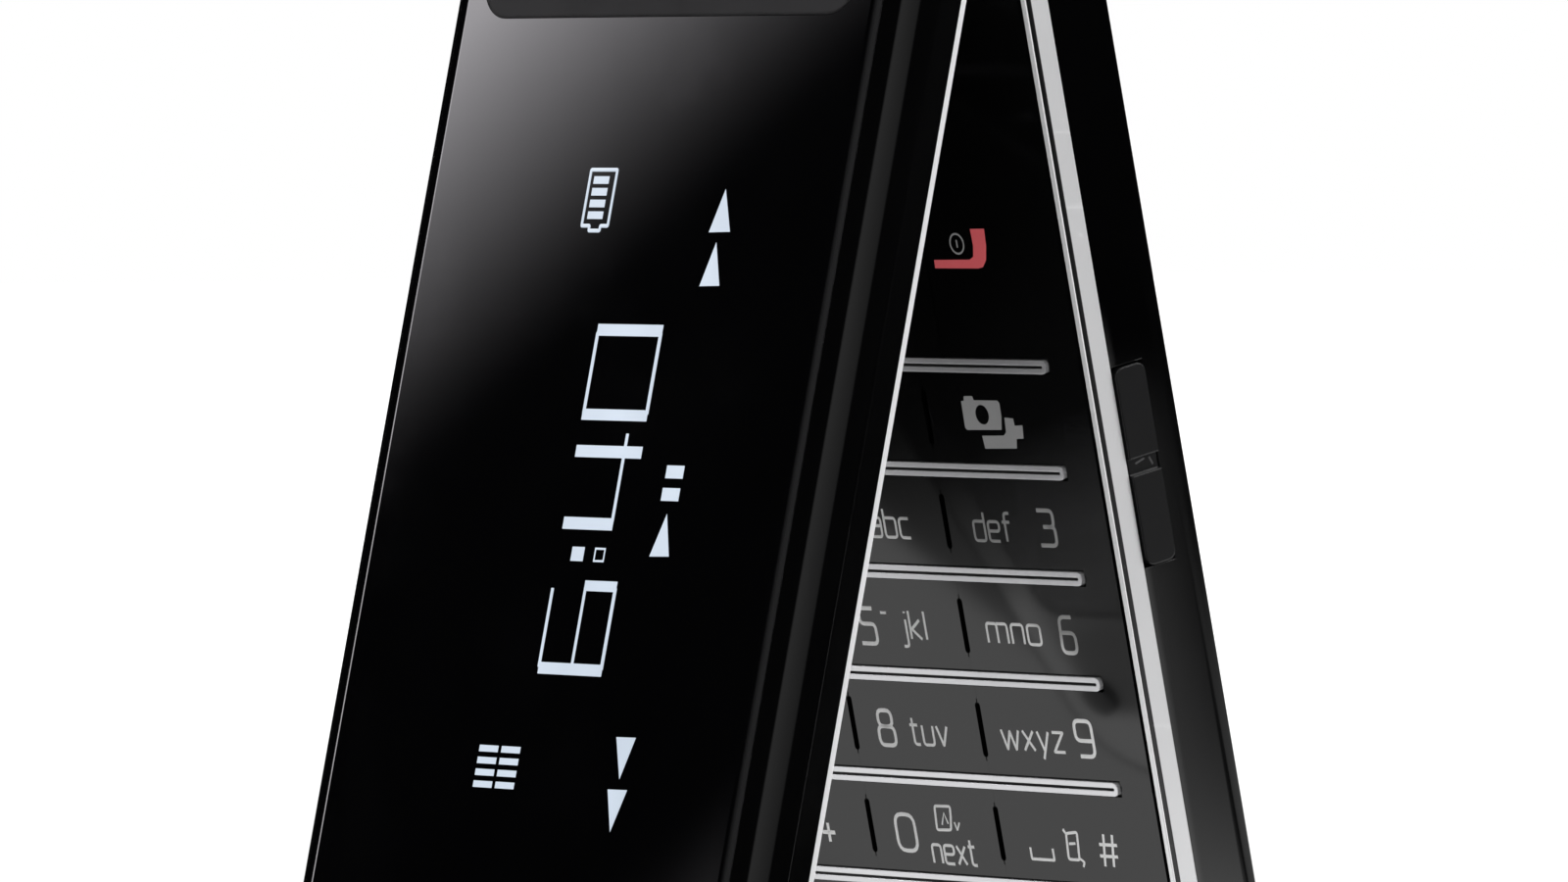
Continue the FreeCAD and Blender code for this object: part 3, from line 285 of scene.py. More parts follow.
def boardTracks(here, tone, height):
    # copper tracks under the green lacquer, and gold pads
    upright = mappedVector(here, (1, 1, 1), (math.radians(90), 0, 0))
    bricks = addNode("TexBrick", {
        "Scale": 260.0, "Mortar Size": 0.09, "Color1": (1, 1, 1, 1), "Color2": (0.7, 0.7, 0.7, 1),
        "Mortar": (0, 0, 0, 1), "Vector": upright}).outputs["Fac"]
    cells = addNode("TexVoronoi", {"Scale": 520.0, "Vector": here})
    pads = rangeNode(cells.outputs["Distance"], 0.14, 0.17, 1, 0)
    tracks = mixColours(bricks, tone, (0.05, 0.30, 0.12))
    return mixColours(pads, tracks, (0.75, 0.55, 0.22)), sumOf(height, bricks)


def flexTracks(here, tone, height):
    wave = addNode("TexWave", {"Scale": 420.0, "Vector": here}, bands_direction="X").outputs["Fac"]
    return mixColours(rangeNode(wave, 0.55, 0.65), tone, (0.42, 0.19, 0.05)), wave


def cellWrap(here, tone, height):
    # the plain printed wrap of the cell: two fine light rules round its ends
    wave = addNode("TexWave", {"Scale": 9.0, "Vector": here}, bands_direction="Z").outputs["Fac"]
    return mixColours(rangeNode(wave, 0.985, 0.99, 0.0, 0.5), tone, (0.5, 0.5, 0.5)), height


def meshWeave(here, tone, height):
    weave = addNode("TexVoronoi", {"Scale": 3600.0, "Randomness": 0.0, "Vector": here}).outputs["Distance"]
    return mixColours(rangeNode(weave, 0.25, 0.4, 1, 0), tone, (0.004, 0.004, 0.004)), weave


def fromHinge(here):
    # distance from the hinge and depth from the closing plane, in metres, on the keypad half
    start = Vector((0, stance["hingeBack"], stance["hingeHeight"])) * 0.001
    ways = (Vector((0, sinT, -cosT)), Vector((0, cosT, sinT)))
    return [minus(dotNode(here, way), way.dot(start)) for way in ways]


def darkLedge(here, tone, height):
    # the band's front edge lies in the shadow of the groove beside it
    depth = fromHinge(here)[1]
    return mixColours(rangeNode(depth, 0.00071, 0.00075, 1, 0), tone, (0.035, 0.035, 0.036)), height


def bandSpill(here, tone, height):
    # the side walls catch a little light from the bright band, most beside it
    along, depth = fromHinge(here)
    fromMiddle = mathNode("ABSOLUTE", axesOf(here)["X"])
    onWall = rangeNode(fromMiddle, 0.0242, 0.0252, smooth=True)
    broad = productOf(rangeNode(along, 0.036, 0.046, smooth=True),
                      rangeNode(along, 0.06, 0.08, 0.019, 0.001), rangeNode(depth, 0.00225, 0.0082, 1, 0))
    close = productOf(rangeNode(along, 0.033, 0.04, 0, 0.022, True),
                      rangeNode(depth, 0.0023, 0.003, 1, 0, True))
    lit = productOf(sumOf(broad, close), onWall)
    return mixColours(lit, tone, (1.0, 1.0, 1.0)), height


def paintedEdgeGlint(here, tone, height):
    # painted highlight: a fine paler line on the window beside the lid's right wall, where its edge would catch the
    # light
    near = rangeNode(axesOf(here)["X"], 0.0225, 0.0231, smooth=True)
    return mixColours(near, tone, (0.017, 0.017, 0.0175)), height


def underLid(here, tone, height):
    # legends to the upper right lie in the lid's shade
    along = fromHinge(here)[0]
    slanted = minus(along, productOf(axesOf(here)["X"], 0.6))
    return mixColours(rangeNode(slanted, 0.0462, 0.0486, 1, 0, True), tone, (0.3, 0.3, 0.298)), height


# every CAD node keeps its shape and takes a finish
finishValues = {
    # name: (nodes that take it, colour, roughness, other values)
    "gloss_black_casing": ("lid_outer_cover",
        (0.0012, 0.0012, 0.0013), 0.05, dict(depth=2e-8, smudge=0.04, edge=3e-5)),
    "rear_casing_black": ("base_rear_housing battery_cover",
        (0.0006, 0.0006, 0.0007), 0.06, dict(depth=3e-8, smudge=0.03, pattern=bandSpill, edge=0.0001)),
    "front_casing_black": ("base_front_housing", (0.0012, 0.0012, 0.0013), 0.09, dict(depth=3e-8, smudge=0.04)),
    # the face glass takes a painted highlight along its right edge
    "face_glass_black": ("face_window", (0.001, 0.001, 0.0012), 0.03, dict(smudge=0.03, pattern=paintedEdgeGlint)),
    "lid_frame_black": ("lid_inner_frame", (0.0012, 0.0012, 0.0013), 0.09, dict(depth=3e-8, smudge=0.05, coat=1.0)),
    "deck_satin_black": ("camera_deck",
        (0.0035, 0.0035, 0.0037), 0.45, dict(grain=5200, depth=5e-7, specular=0.2, edge=0.0003)),
    "satin_chrome_band": ("side_trim_band",
        (0.84, 0.84, 0.85), 0.3, dict(metal=0.5, grain=7000, depth=1.5e-7,
            mottle=0.015, smudge=0.04, scratch=0.03, pattern=darkLedge, edge=0.0001)),
    "chrome_edge_trim": ("keypad_edge_trim",
        (0.97, 0.97, 0.975), 0.25, dict(metal=0.3, grain=7000, depth=5e-8, mottle=0.015, smudge=0.04, edge=0.0001)),
    "chrome_row_bars": ("keypad_row_bars",
        (0.8, 0.8, 0.82), 0.22, dict(metal=0.65, depth=8e-8, mottle=0.015, smudge=0.04, edge=8e-5)),
    "lid_chrome_line": ("lid_edge_trim",
        (0.92, 0.92, 0.93), 0.28, dict(metal=0.3, depth=6e-8, mottle=0.015, smudge=0.04, edge=0.00012)),
    "mat_silicone": ("keypad_mat", (0.7, 0.7, 0.68), 0.6, dict(grain=900, depth=2e-6, mottle=0.05, specular=0.3)),
    "dome_steel": ("metal_domes", (0.7, 0.69, 0.66), 0.25, dict(metal=1.0, brushed=0.35, depth=4e-7)),
    "board_green": ("main_circuit_board lid_circuit_board",
        (0.015, 0.12, 0.05), 0.32, dict(depth=6e-6, pattern=boardTracks)),
    "shield_tin": ("shield_cans", (0.62, 0.62, 0.6), 0.34, dict(metal=1.0, brushed=0.4, depth=5e-7, scratch=0.3)),
    "battery_case": ("battery_pack", (0.045, 0.046, 0.05), 0.5, dict(grain=3800, depth=1.5e-6, pattern=cellWrap)),
    "speaker_black": ("loudspeaker", (0.02, 0.02, 0.021), 0.65, dict(grain=5200, depth=2e-6)),
    "motor_steel": ("vibration_motor", (0.6, 0.6, 0.61), 0.3, dict(metal=1.0, brushed=0.4, depth=5e-7)),
    "weight_steel": ("vibration_weight", (0.42, 0.42, 0.43), 0.38, dict(metal=1.0, brushed=0.3, depth=5e-7)),
    "antenna_plastic": ("antenna_carrier", (0.62, 0.56, 0.42), 0.5, dict(grain=3000, depth=1.5e-6)),
    "microphone_boot": ("microphone", (0.03, 0.03, 0.03), 0.75, dict(grain=3500, depth=2e-6, specular=0.3)),
    "screw_steel": ("housing_screws", (0.3, 0.3, 0.31), 0.36, dict(metal=1.0, depth=4e-7, scratch=0.3, edge=6e-5)),
    "socket_steel": ("charging_socket", (0.62, 0.62, 0.62), 0.3, dict(metal=1.0, brushed=0.3, depth=4e-7)),
    "port_rubber": ("port_cover",
        (0.006, 0.006, 0.0063), 0.5, dict(grain=4200, depth=1e-6, specular=0.35, dust=0.08, edge=0.0001)),
    "rocker_satin_black": ("volume_rocker",
        (0.0058, 0.0058, 0.0062), 0.26, dict(grain=5200, depth=2e-7, edge=0.00016)),
    "hinge_steel": ("hinge_drive_pin hinge_cartridge",
        (0.52, 0.52, 0.53), 0.3, dict(metal=1.0, brushed=0.4, depth=5e-7)),
    "bush_nylon": ("hinge_flex_bush", (0.07, 0.07, 0.07), 0.5, dict(grain=2600, depth=1.5e-6)),
    "cap_black": ("knuckle_end_caps", (0.003, 0.003, 0.0032), 0.1, dict(depth=5e-8, smudge=0.05, edge=0.00012)),
    "key_black": (
        "left_soft_key right_soft_key left_call_key right_call_key voice_key clear_key camera_key key_1 "
        "key_2 key_3 key_4 key_5 key_6 key_7 key_8 key_9 key_star key_0 key_hash",
        (0.0012, 0.0012, 0.0013), 0.06, dict(grain=5200, depth=2e-8, smudge=0.04, mottle=0.12)),
    "navigation_black": ("navigation_ring",
        (0.004, 0.004, 0.0042), 0.14, dict(grain=5200, depth=8e-8, edge=0.00018)),
    "select_dark_chrome": ("select_key",
        (0.4, 0.4, 0.415), 0.3, dict(metal=0.9, brushed=0.25, depth=3e-7, edge=0.00018)),
    "coated_lens": ("", (0.012, 0.006, 0.03), 0.03, dict(coat=0.6, smudge=0.02)),
    "lens_ring_steel": ("camera_lens_ring",
        (0.34, 0.34, 0.355), 0.28, dict(metal=1.0, brushed=0.25, depth=3e-7, edge=0.0001)),
    "camera_black": ("camera_module", (0.012, 0.012, 0.012), 0.6, dict(grain=4200, depth=1.5e-6)),
    "display_panel": ("inner_display", (0.012, 0.013, 0.016), 0.22, dict(grain=9000, depth=1e-7, mottle=0.25)),
    "outer_display_panel": ("outer_display", (0.008, 0.008, 0.01), 0.2, dict(grain=9000, depth=1e-7, mottle=0.2)),
    "earpiece_case": ("earpiece", (0.03, 0.03, 0.03), 0.6, dict(grain=3600, depth=1.6e-6)),
    "bumper_rubber": ("lid_bumpers",
        (0.006, 0.006, 0.006), 0.14, dict(grain=3600, depth=1e-7, smudge=0.1, edge=0.0001)),
    "flex_amber": ("hinge_flex", (0.55, 0.28, 0.06), 0.35, dict(depth=3e-6, pattern=flexTracks)),
    "mesh_black": ("", (0.035, 0.035, 0.036), 0.5, dict(depth=6e-6, pattern=meshWeave)),
    "slot_black": ("", (0.004, 0.004, 0.004), 0.6, dict(grain=4000, depth=1e-6, specular=0.2)),
    "display_glass": ("inner_display_window", (0.32, 0.32, 0.34), 0.02, dict(smudge=0.02, mottle=0.02, glass=1.0)),
    "lens_glass": ("camera_lens", (0.72, 0.74, 0.86), 0.02, dict(smudge=0.02, mottle=0.02, glass=1.0)),
}
finishes = {}
dressed = set()
for finishName, (nodeNames, colour, rough, others) in finishValues.items():
    finishes[finishName] = makeFinish(finishName, colour, rough, **others)
    for nodeName in nodeNames.split():
        slots = nodes[nodeName].material_slots
        if not slots:
            nodes[nodeName].data.materials.append(finishes[finishName])
        for slot in slots:
            slot.material = finishes[finishName]
        dressed.add(nodeName)
print("nodes still without a finish:", sorted(set(nodes) - dressed))


def fadeInGloss(material):
    # gloss surfaces beside the line hardly show it
    tree, surface = surfaceOf(material)
    tone = surface["Base Color"].links[0].from_socket
    inGloss = addNode("LightPath", {}, tree).outputs["Is Glossy Ray"]
    tree.links.new(mixColours(inGloss, tone, (0.02, 0.02, 0.02)), surface["Base Color"])


fadeInGloss(finishes["lid_chrome_line"])


def makeInk(name, colour, glow=0.0, rough=0.35, dark=0.0, pattern=None):
    # printed or lit marks: a little uneven in strength, as screen printing is
    material = makeFinish(name, colour, rough, grain=7000, depth=3e-7, mottle=0.06, smudge=0.05, pattern=pattern)
    if glow:
        tree, surface = surfaceOf(material)
        tone = surface["Base Color"].links[0].from_socket
        tree.links.new(tone, surface["Emission Color"])
        if dark:
            tree.links.new(mixColours(dark, tone, (0.004, 0.004, 0.005)), surface["Base Color"])
        surface["Emission Strength"].default_value = glow
    return material


inks = {
    "legend": makeInk("legend_grey_ink", (0.9, 0.9, 0.895), glow=0.035, pattern=underLid),
    "faint": makeInk("faint_grey_ink", (0.2, 0.2, 0.2), glow=0.4),
    "end": makeInk("end_red_ink", (0.4, 0.062, 0.07), glow=0.65),
    "send": makeInk("send_green_ink", (0.06, 0.36, 0.13), glow=0.5),
    "screen": makeInk("screen_blue_white", (0.60, 0.68, 0.78), glow=1.0, rough=0.2, dark=0.97),
    # the rocker's relief mark is drawn with a painted highlight and a painted shade
    "wallHighlight": makeInk("wall_mark_highlight", (0.05, 0.05, 0.051)),
    "wallShade": makeInk("wall_mark_shade", (0.0012, 0.0012, 0.0012)),
}
print("finishes ready:", len(finishes) + len(inks))


# marks are strokes and filled shapes, drawn on a work plane at (across, distance from the hinge) in mm


softening = {"steps": 4, "least": 1e-4}  # least is a cut in mm below which a corner stays sharp


def softenCorners(points, radius, closed):
    path = [Vector((x, y)) for x, y in points]
    count = len(path)
    rounded = []
    for i, corner in enumerate(path):
        if not closed and i in (0, count - 1):
            rounded.append(corner)
            continue
        before, after = path[i - 1] - corner, path[(i + 1) % count] - corner
        cut = min(radius, before.length * 0.5, after.length * 0.5)
        if cut < softening["least"]:
            rounded.append(corner)
            continue
        start, end = corner + before.normalized() * cut, corner + after.normalized() * cut
        for step in range(softening["steps"] + 1):
            t = step / softening["steps"]
            rounded.append(start * (1 - t) ** 2 + corner * 2 * t * (1 - t) + end * t * t)
    return rounded


def strokeMesh(strokes):
    # strokes are (points, line width, corner radius, closed)
    parts = bmesh.new()
    for width in sorted({s[1] for s in strokes}):
        curve = bpy.data.curves.new("strokeLine", "CURVE")
        curve.dimensions = "3D"
        curve.bevel_depth = width / 2
        curve.bevel_resolution = 1
        curve.use_fill_caps = True
        for points, lineWidth, radius, closed in strokes:
            if lineWidth != width:
                continue
            path = softenCorners([(x, -y) for x, y in points], radius, closed)
            spline = curve.splines.new("POLY")
            spline.points.add(len(path) - 1)
            for spot, p in zip(spline.points, path):
                spot.co = (p.x, p.y, 0, 1)
            spline.use_cyclic_u = closed
        holder = bpy.data.objects.new("strokeLine", curve)
        mesh = bpy.data.meshes.new_from_object(holder)
        parts.from_mesh(mesh)
        bpy.data.objects.remove(holder)
        bpy.data.curves.remove(curve)
        bpy.data.meshes.remove(mesh)
    return parts


def raiseFaces(work, faces, lift):
    # flat faces get their thickness
    raised = bmesh.ops.extrude_face_region(work, geom=faces)["geom"]
    bmesh.ops.translate(work, vec=(0, 0, lift), verts=[v for v in raised if isinstance(v, bmesh.types.BMVert)])


def addFill(work, loops, lift):
    # a flat shape with any holes in it, raised a little so that it reads as print
    edges = []
    for loop in loops:
        corners = [work.verts.new((x, -y, 0)) for x, y in loop]
        edges += [work.edges.new((corners[i - 1], corners[i])) for i in range(len(corners))]
    filled = bmesh.ops.triangle_fill(work, use_beauty=True, edges=edges)["geom"]
    raiseFaces(work, [f for f in filled if isinstance(f, bmesh.types.BMFace)], lift)


def addStrip(work, x, y, width, height, lift):
    made = bmesh.ops.create_grid(work, x_segments=1, y_segments=1, size=0.5)["verts"]
    bmesh.ops.scale(work, vec=(width, height, 1), verts=made)
    bmesh.ops.translate(work, vec=(x, -y, 0), verts=made)
    raiseFaces(work, list({f for v in made for f in v.link_faces}), lift)


def addObject(name, data):
    made = bpy.data.objects.new(name, data)
    scene.collection.objects.link(made)
    return made


def addMesh(name, work):
    mesh = bpy.data.meshes.new(name)
    work.to_mesh(mesh)
    work.free()
    return addObject(name, mesh)


joining = {"within": 1e-5, "sharpFrom": 38}  # mm, degrees


def finishPiece(name, work, plate, material, body, smooth=True):
    bmesh.ops.remove_doubles(work, verts=work.verts, dist=joining["within"])
    bmesh.ops.transform(work, matrix=plate, verts=work.verts)
    bmesh.ops.recalc_face_normals(work, faces=work.faces)
    piece = addMesh(name, work)
    for face in piece.data.polygons:
        face.use_smooth = smooth
    piece.data.set_sharp_from_angle(angle=math.radians(joining["sharpFrom"]))
    piece.data.materials.append(material)
    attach(piece, body)
    return piece


ink = {"thickness": 0.018, "flatten": 0.13, "digit": 0.3, "letter": 0.23, "icon": 0.22}  # mm


def inkPiece(name, plate, body, material, strokes=(), fills=()):
    work = strokeMesh(strokes)
    bmesh.ops.scale(work, vec=(1, 1, ink["thickness"] / ink["flatten"]), verts=work.verts)
    for loops in fills:
        addFill(work, loops, ink["thickness"])
    return finishPiece(name, work, plate, material, body)


def ring(x, y, radius, width=ink["icon"]):
    return circlePoints(x, y, radius), width, 0, True


def circlePoints(x, y, radius, count=20):
    turns = [2 * math.pi * i / count for i in range(count)]
    return [(x + radius * math.cos(turn), y + radius * math.sin(turn)) for turn in turns]


def readPoints(text):
    return [tuple(float(number) for number in pair.split(",")) for pair in text.split()]


def readLine(text):
    # a line is its corner radius, with an o where it closes, and then its points
    radius, points = text.split(" ", 1)
    return readPoints(points), float(radius.rstrip("o")), radius.endswith("o")


def drawn(width, *lines):
    return [(points, width, radius, closed) for points, radius, closed in map(readLine, lines)]


# a plain squarish stroke lettering: each sign is its width and its lines, in hundredths of a capital's height
signs = {
    "0": "62 | 30o 0,0 62,0 62,100 0,100",
    "1": "34 | 10 0,80 34,100 34,0",
    "2": "64 | 20 2,100 64,100 64,52 0,40 0,0 64,0",
    "3": "66 | 16 2,100 64,100 64,53 20,53 | 18 40,53 66,53 66,0 0,0",
    "4": "66 | 4 36,100 0,33 66,33 | 2 46,62 46,0",
    "5": "66 | 17 62,100 4,100 4,56 66,56 66,0 0,0",
    "6": "66 | 20 60,100 4,100 0,0 66,0 66,56 3,56",
    "7": "62 | 6 0,100 62,100 24,0",
    "8": "66 | 20o 5,54 61,54 61,100 5,100 | 20o 0,0 66,0 66,54 0,54",
    "9": "66 | 20 8,0 66,0 66,100 0,100 0,44 64,44",
    "*": "60 | 0 30,100 30,40 | 0 4,86 56,54 | 0 56,86 4,54",
    "#": "74 | 0 26,100 14,0 | 0 60,100 48,0 | 0 4,68 74,68 | 0 0,32 70,32",
    "a": "50 | 14 5,70 50,70 50,0 0,0 0,40 50,40",
    "b": "50 | 14 0,102 0,0 50,0 50,70 0,70",
    "c": "43 | 16 43,70 0,70 0,0 43,0",
    "d": "50 | 14 50,102 50,0 0,0 0,70 50,70",
    "e": "50 | 14 46,0 0,0 0,70 50,70 50,36 0,36",
    "f": "36 | 16 36,102 12,102 12,0 | 0 0,70 34,70",
    "g": "50 | 14 4,-28 50,-28 50,70 0,70 0,2 50,2",
    "h": "48 | 0 0,102 0,0 | 14 0,70 48,70 48,0",
    "i": "6 | 0 3,70 3,0 | 0 3,93 3,99",
    "j": "20 | 12 20,70 20,-28 0,-28 | 0 20,93 20,99",
    "k": "44 | 0 0,102 0,0 | 5 42,70 6,36 44,0",
    "l": "6 | 0 3,102 3,0",
    "m": "80 | 12 0,0 0,70 40,70 40,0 | 12 40,70 80,70 80,0",
    "n": "46 | 14 0,0 0,70 46,70 46,0",
    "o": "50 | 16o 0,0 50,0 50,70 0,70",
    "p": "50 | 14 0,-28 0,70 50,70 50,0 0,0",
    "q": "50 | 14 50,-28 50,70 0,70 0,0 50,0",
    "r": "30 | 14 0,0 0,70 30,70",
    "s": "44 | 12 42,70 0,70 0,36 44,36 44,0 0,0",
    "t": "36 | 14 12,95 12,0 36,0 | 0 0,70 34,70",
    "u": "46 | 14 0,70 0,0 46,0 46,70",
    "v": "46 | 3 0,70 23,0 46,70",
    "w": "72 | 3 0,70 18,0 36,66 54,0 72,70",
    "x": "44 | 0 0,70 44,0 | 0 44,70 0,0",
    "y": "46 | 0 0,70 23,0 | 0 46,70 14,-28",
    "z": "44 | 2 0,70 44,70 0,0 44,0",
    "O": "68 | 28o 0,0 68,0 68,100 0,100",
    "K": "58 | 0 0,100 0,0 | 5 55,100 5,47 58,0",
}


def lettering(text, left, right, baseLine, height, line, gap=0.17):
    # strokes for a word that fills left to right and stands on the base line; height is that of a capital
    shapes = [signs[c].split(" | ") for c in text]
    total = sum(int(width) / 100 for width, *lines in shapes) + gap * (len(text) - 1)
    stretch = (right - left) / total
    made, pen = [], left
    for width, *lines in shapes:
        for points, radius, closed in map(readLine, lines):
            path = [(pen + x / 100 * stretch, baseLine - y / 100 * height) for x, y in points]
            made.append((path, line, radius / 100 * height, closed))
        pen += (int(width) / 100 + gap) * stretch
    return made


legendDepth = {"keys": 0.446, "pad": 0.296}  # mm from the closing plane, just under the caps' faces


def keyLegend(key, strokes, fills=(), finish="legend"):
    return inkPiece(key + "_legend", keypadPlate(legendDepth["keys"]), key, inks[finish], strokes, fills)


inset = {"digit": 0.12, "word": 0.09}  # mm that a line's middle keeps from its sign's edge


def digitAnd(digit, left, right, row, word="", wordLeft=0, wordRight=0, wordBase=0, wordHeight=2.03):
    top, base = rows[row]
    made = lettering(digit, left, right, base - inset["digit"], base - top - 2 * inset["digit"], ink["digit"])
    if word:
        made += lettering(word, wordLeft, wordRight, wordBase - inset["word"], wordHeight, ink["letter"])
    return made


rows = {"first": (47.92, 50.71), "second": (55.66, 58.52), "third": (63.24, 66.08),
        "star": (71.3, 74.2), "zero": (70.98, 73.93)}
numberKeys = {
    # key: (digit, its left and right, its row, letters, their left, right, base line and height)
    "key_1": ("1", -18.3, -17.2, "first"),
    "key_2": ("2", -4.5, -2.5, "first", "abc", -1.36, 2.97, 50.5),
    "key_3": ("3", 17.07, 18.79, "first", "def", 10.05, 14.05, 50.5),
    "key_4": ("4", -19.1, -17.2, "second", "ghi", -14.9, -11.6, 58.0),
    "key_5": ("5", -4.45, -2.7, "second", "jkl", 0.2, 2.9, 58.0),
    "key_6": ("6", 17.45, 19.0, "second", "mno", 9.56, 15.29, 58.0),
    "key_7": ("7", -19.1, -17.3, "third", "pqrs", -15.6, -10.2, 65.86),
    "key_8": ("8", -4.35, -2.58, "third", "tuv", -0.8, 3.24, 65.86, 2.05),
    "key_9": ("9", 17.2, 19.0, "third", "wxyz", 9.18, 15.83, 65.84, 2.05),
    "key_star": ("*", -18.9, -16.9, "star"),
    "key_0": ("0", -4.3, -2.2, "zero", "next", -0.66, 4.08, 74.68, 1.95),
}
extraMarks = {
    "key_1": [ring(-14.3, 49.5, 0.5), ring(-12.2, 49.5, 0.5), *drawn(ink["icon"], "0 -14.3,50.0 -12.2,50.0")],
    "key_5": drawn(0.2, "0 -1.9,56.05 -1.25,56.05"),
    "key_star": drawn(ink["digit"], "0 -12.68,72.82 -11.27,72.82", "0 -11.97,72.12 -11.97,73.52"),
    "key_0": drawn(ink["icon"], "0.2o 0.4,70.32 2.1,70.28 2.0,71.1 1.8,72.05 0.25,72.1")
    + drawn(0.16, "0 0.9,71.7 1.3,70.8 1.6,71.6", "0.1 2.3,71.45 2.5,72.05 2.85,71.45"),
}
for key, values in numberKeys.items():
    keyLegend(key, digitAnd(*values) + extraMarks.get(key, []))
keyLegend("key_hash", lettering("#", 17.66, 19.66, 74.0, 2.36, 0.24) + drawn(
    0.22, "0.08 10.2,72.95 10.2,73.8 12.62,73.8 12.62,72.95", "0.2o 14.35,71.75 15.55,71.6 15.35,73.65 14.2,73.65",
    "0 14.1,71.45 14.4,71.85") + drawn(0.2, "0 14.5,72.5 15.2,72.45", "0.1 15.4,73.55 15.85,73.8 15.65,74.15"))
keyLegend("camera_key", [], [
    [readPoints("11.05,40.22 11.35,40.2 11.42,39.86 12.32,39.84 12.42,40.14 14.95,40.12 15.14,40.3 15.12,41.25 "
                "14.9,42.25 11.2,42.32 11.0,42.15"), circlePoints(13.08, 41.18, 0.72)[::-1]],
    [readPoints("12.7,42.72 15.05,42.66 15.35,42.4 15.44,41.35 16.34,41.4 16.38,41.92 17.22,41.88 17.1,42.84 "
                "16.36,42.88 16.2,43.58 12.8,43.66")]], "faint")
keyLegend("voice_key", drawn(
    ink["icon"], "0.05o -15.2,41.0 -14.6,41.0 -13.9,40.4 -13.9,42.4 -14.6,41.8 -15.2,41.8",
    "0.3 -13.2,40.9 -12.9,41.4 -13.2,41.9", "0.5 -12.5,40.5 -12.0,41.4 -12.5,42.3"), finish="faint")
keyLegend("clear_key", drawn(
    ink["icon"], "0.12o -2.2,41.4 -0.9,40.3 2.2,40.3 2.2,42.5 -0.9,42.5", "0 -0.2,40.9 1.0,41.9",
    "0 1.0,40.9 -0.2,41.9"), finish="faint")
hook = readPoints("15.2,27.7 16.7,27.67 16.62,28.9 16.35,29.95 15.9,30.45 15.4,30.55 10.73,30.57 10.76,29.97 "
                  "14.6,29.92 15.05,29.7 15.24,28.9")
keyLegend("right_call_key", [], [[hook]], "end")
keyLegend("left_call_key", [], [[[(-x, y) for x, y in hook[:1] + hook[:0:-1]]]], "send")
inkPiece("power_mark", keypadPlate(legendDepth["keys"]), "right_call_key", inks["faint"],
         [ring(13.5, 28.78, 0.72, 0.14), *drawn(0.14, "0 13.5,28.5 13.5,29.06")])
keyLegend("left_soft_key", drawn(0.3, "0 -16.2,16.4 -12.2,16.4"), finish="faint")
keyLegend("right_soft_key", drawn(0.3, "0 12.2,16.4 16.2,16.4"), finish="faint")
print("key legends drawn")

# marks on the navigation pad and the select key
padPlate = keypadPlate(legendDepth["pad"])
arrows = ("-0.8,15.6 0.8,15.6 0,14.6", "0.8,31.0 -0.8,31.0 0,32.0", "-6.6,22.5 -6.6,24.1 -7.6,23.3",
          "6.6,24.1 6.6,22.5 7.6,23.3")
inkPiece("navigation_marks", padPlate, "navigation_ring", inks["legend"], fills=[[readPoints(a)] for a in arrows])
inkPiece("select_mark", padPlate, "select_key", inks["legend"], lettering("OK", -1.75, 1.75, 24.3, 2.0, 0.26, 0.3))

# painted shade: a dark gloss strip laid in each chrome bar between the key rows, standing for the shade down its
# middle groove
bars = {"first": 37.6, "pitch": 7.66, "count": 6, "halfLength": 20.56, "width": 0.18, "floor": 0.37, "top": 0.31,
        "round": 0.45}


def makeBarGrooveShade():
    work = bmesh.new()
    length, width, thick = bars["halfLength"] * 2, bars["width"], bars["floor"] - bars["top"]
    for i in range(bars["count"]):
        addStrip(work, 0, bars["first"] + bars["pitch"] * i, length, width, thick)
    ends = [e for e in work.edges if abs(e.verts[0].co.z - e.verts[1].co.z) > thick / 2]
    bmesh.ops.bevel(work, geom=ends, offset=width * bars["round"], offset_type="OFFSET", segments=3, profile=0.5,
                    affect="EDGES", material=-1)
    plate = keypadPlate(bars["floor"])
    return finishPiece("row_bar_groove_shade", work, plate, finishes["slot_black"], "base", smooth=False)


makeBarGrooveShade()

# the thin black skin that closes the gaps between the keys, so the pad reads as one sheet
skin = {"width": 0.16, "top": 0.446, "thick": 0.06, "columnAt": 7.08, "barHalf": 0.6, "slitHalf": 2.3, "outer": 24.38,
        "barEnd": 21.15, "upperFrom": 9.95, "upperSplit": 23.3}


def makeKeySkin():
    runs = []
    for i in range(bars["count"]):
        y = bars["first"] + bars["pitch"] * i
        runs += [((side * skin["barEnd"], y), (side * skin["outer"], y)) for side in (-1, 1)]
        if i < bars["count"] - 1:
            middle = y + bars["pitch"] / 2
            for x in (-skin["columnAt"], skin["columnAt"]):
                runs.append(((x, y + skin["barHalf"]), (x, middle - skin["slitHalf"])))
                runs.append(((x, middle + skin["slitHalf"]), (x, y + bars["pitch"] - skin["barHalf"])))
    upper = skin["upperSplit"]
    runs += [((side * skin["upperFrom"], upper), (side * skin["outer"], upper)) for side in (-1, 1)]
    work = bmesh.new()
    for (x0, y0), (x1, y1) in runs:
        width, height = (max(abs(reach), skin["width"]) for reach in (x1 - x0, y1 - y0))
        addStrip(work, (x0 + x1) / 2, (y0 + y1) / 2, width, height, skin["thick"])
    plate = keypadPlate(skin["top"] + skin["thick"])
    return finishPiece("keypad_skin", work, plate, finishes["key_black"], "base", smooth=False)


makeKeySkin()

# the lit signs of the outer display, seen through the face window
screen = {"depth": 5.946, "colonLine": 0.24, "batteryLine": 0.306, "barPitch": 0.847, "signalPitch": 0.85}


def screenSign(name, strokes=(), fills=()):
    return inkPiece(name, lidPlate(screen["depth"]), "lid", inks["screen"], strokes, fills)


def block(left, top, right, bottom):
    return [[(left, bottom), (right, bottom), (right, top), (left, top)]]


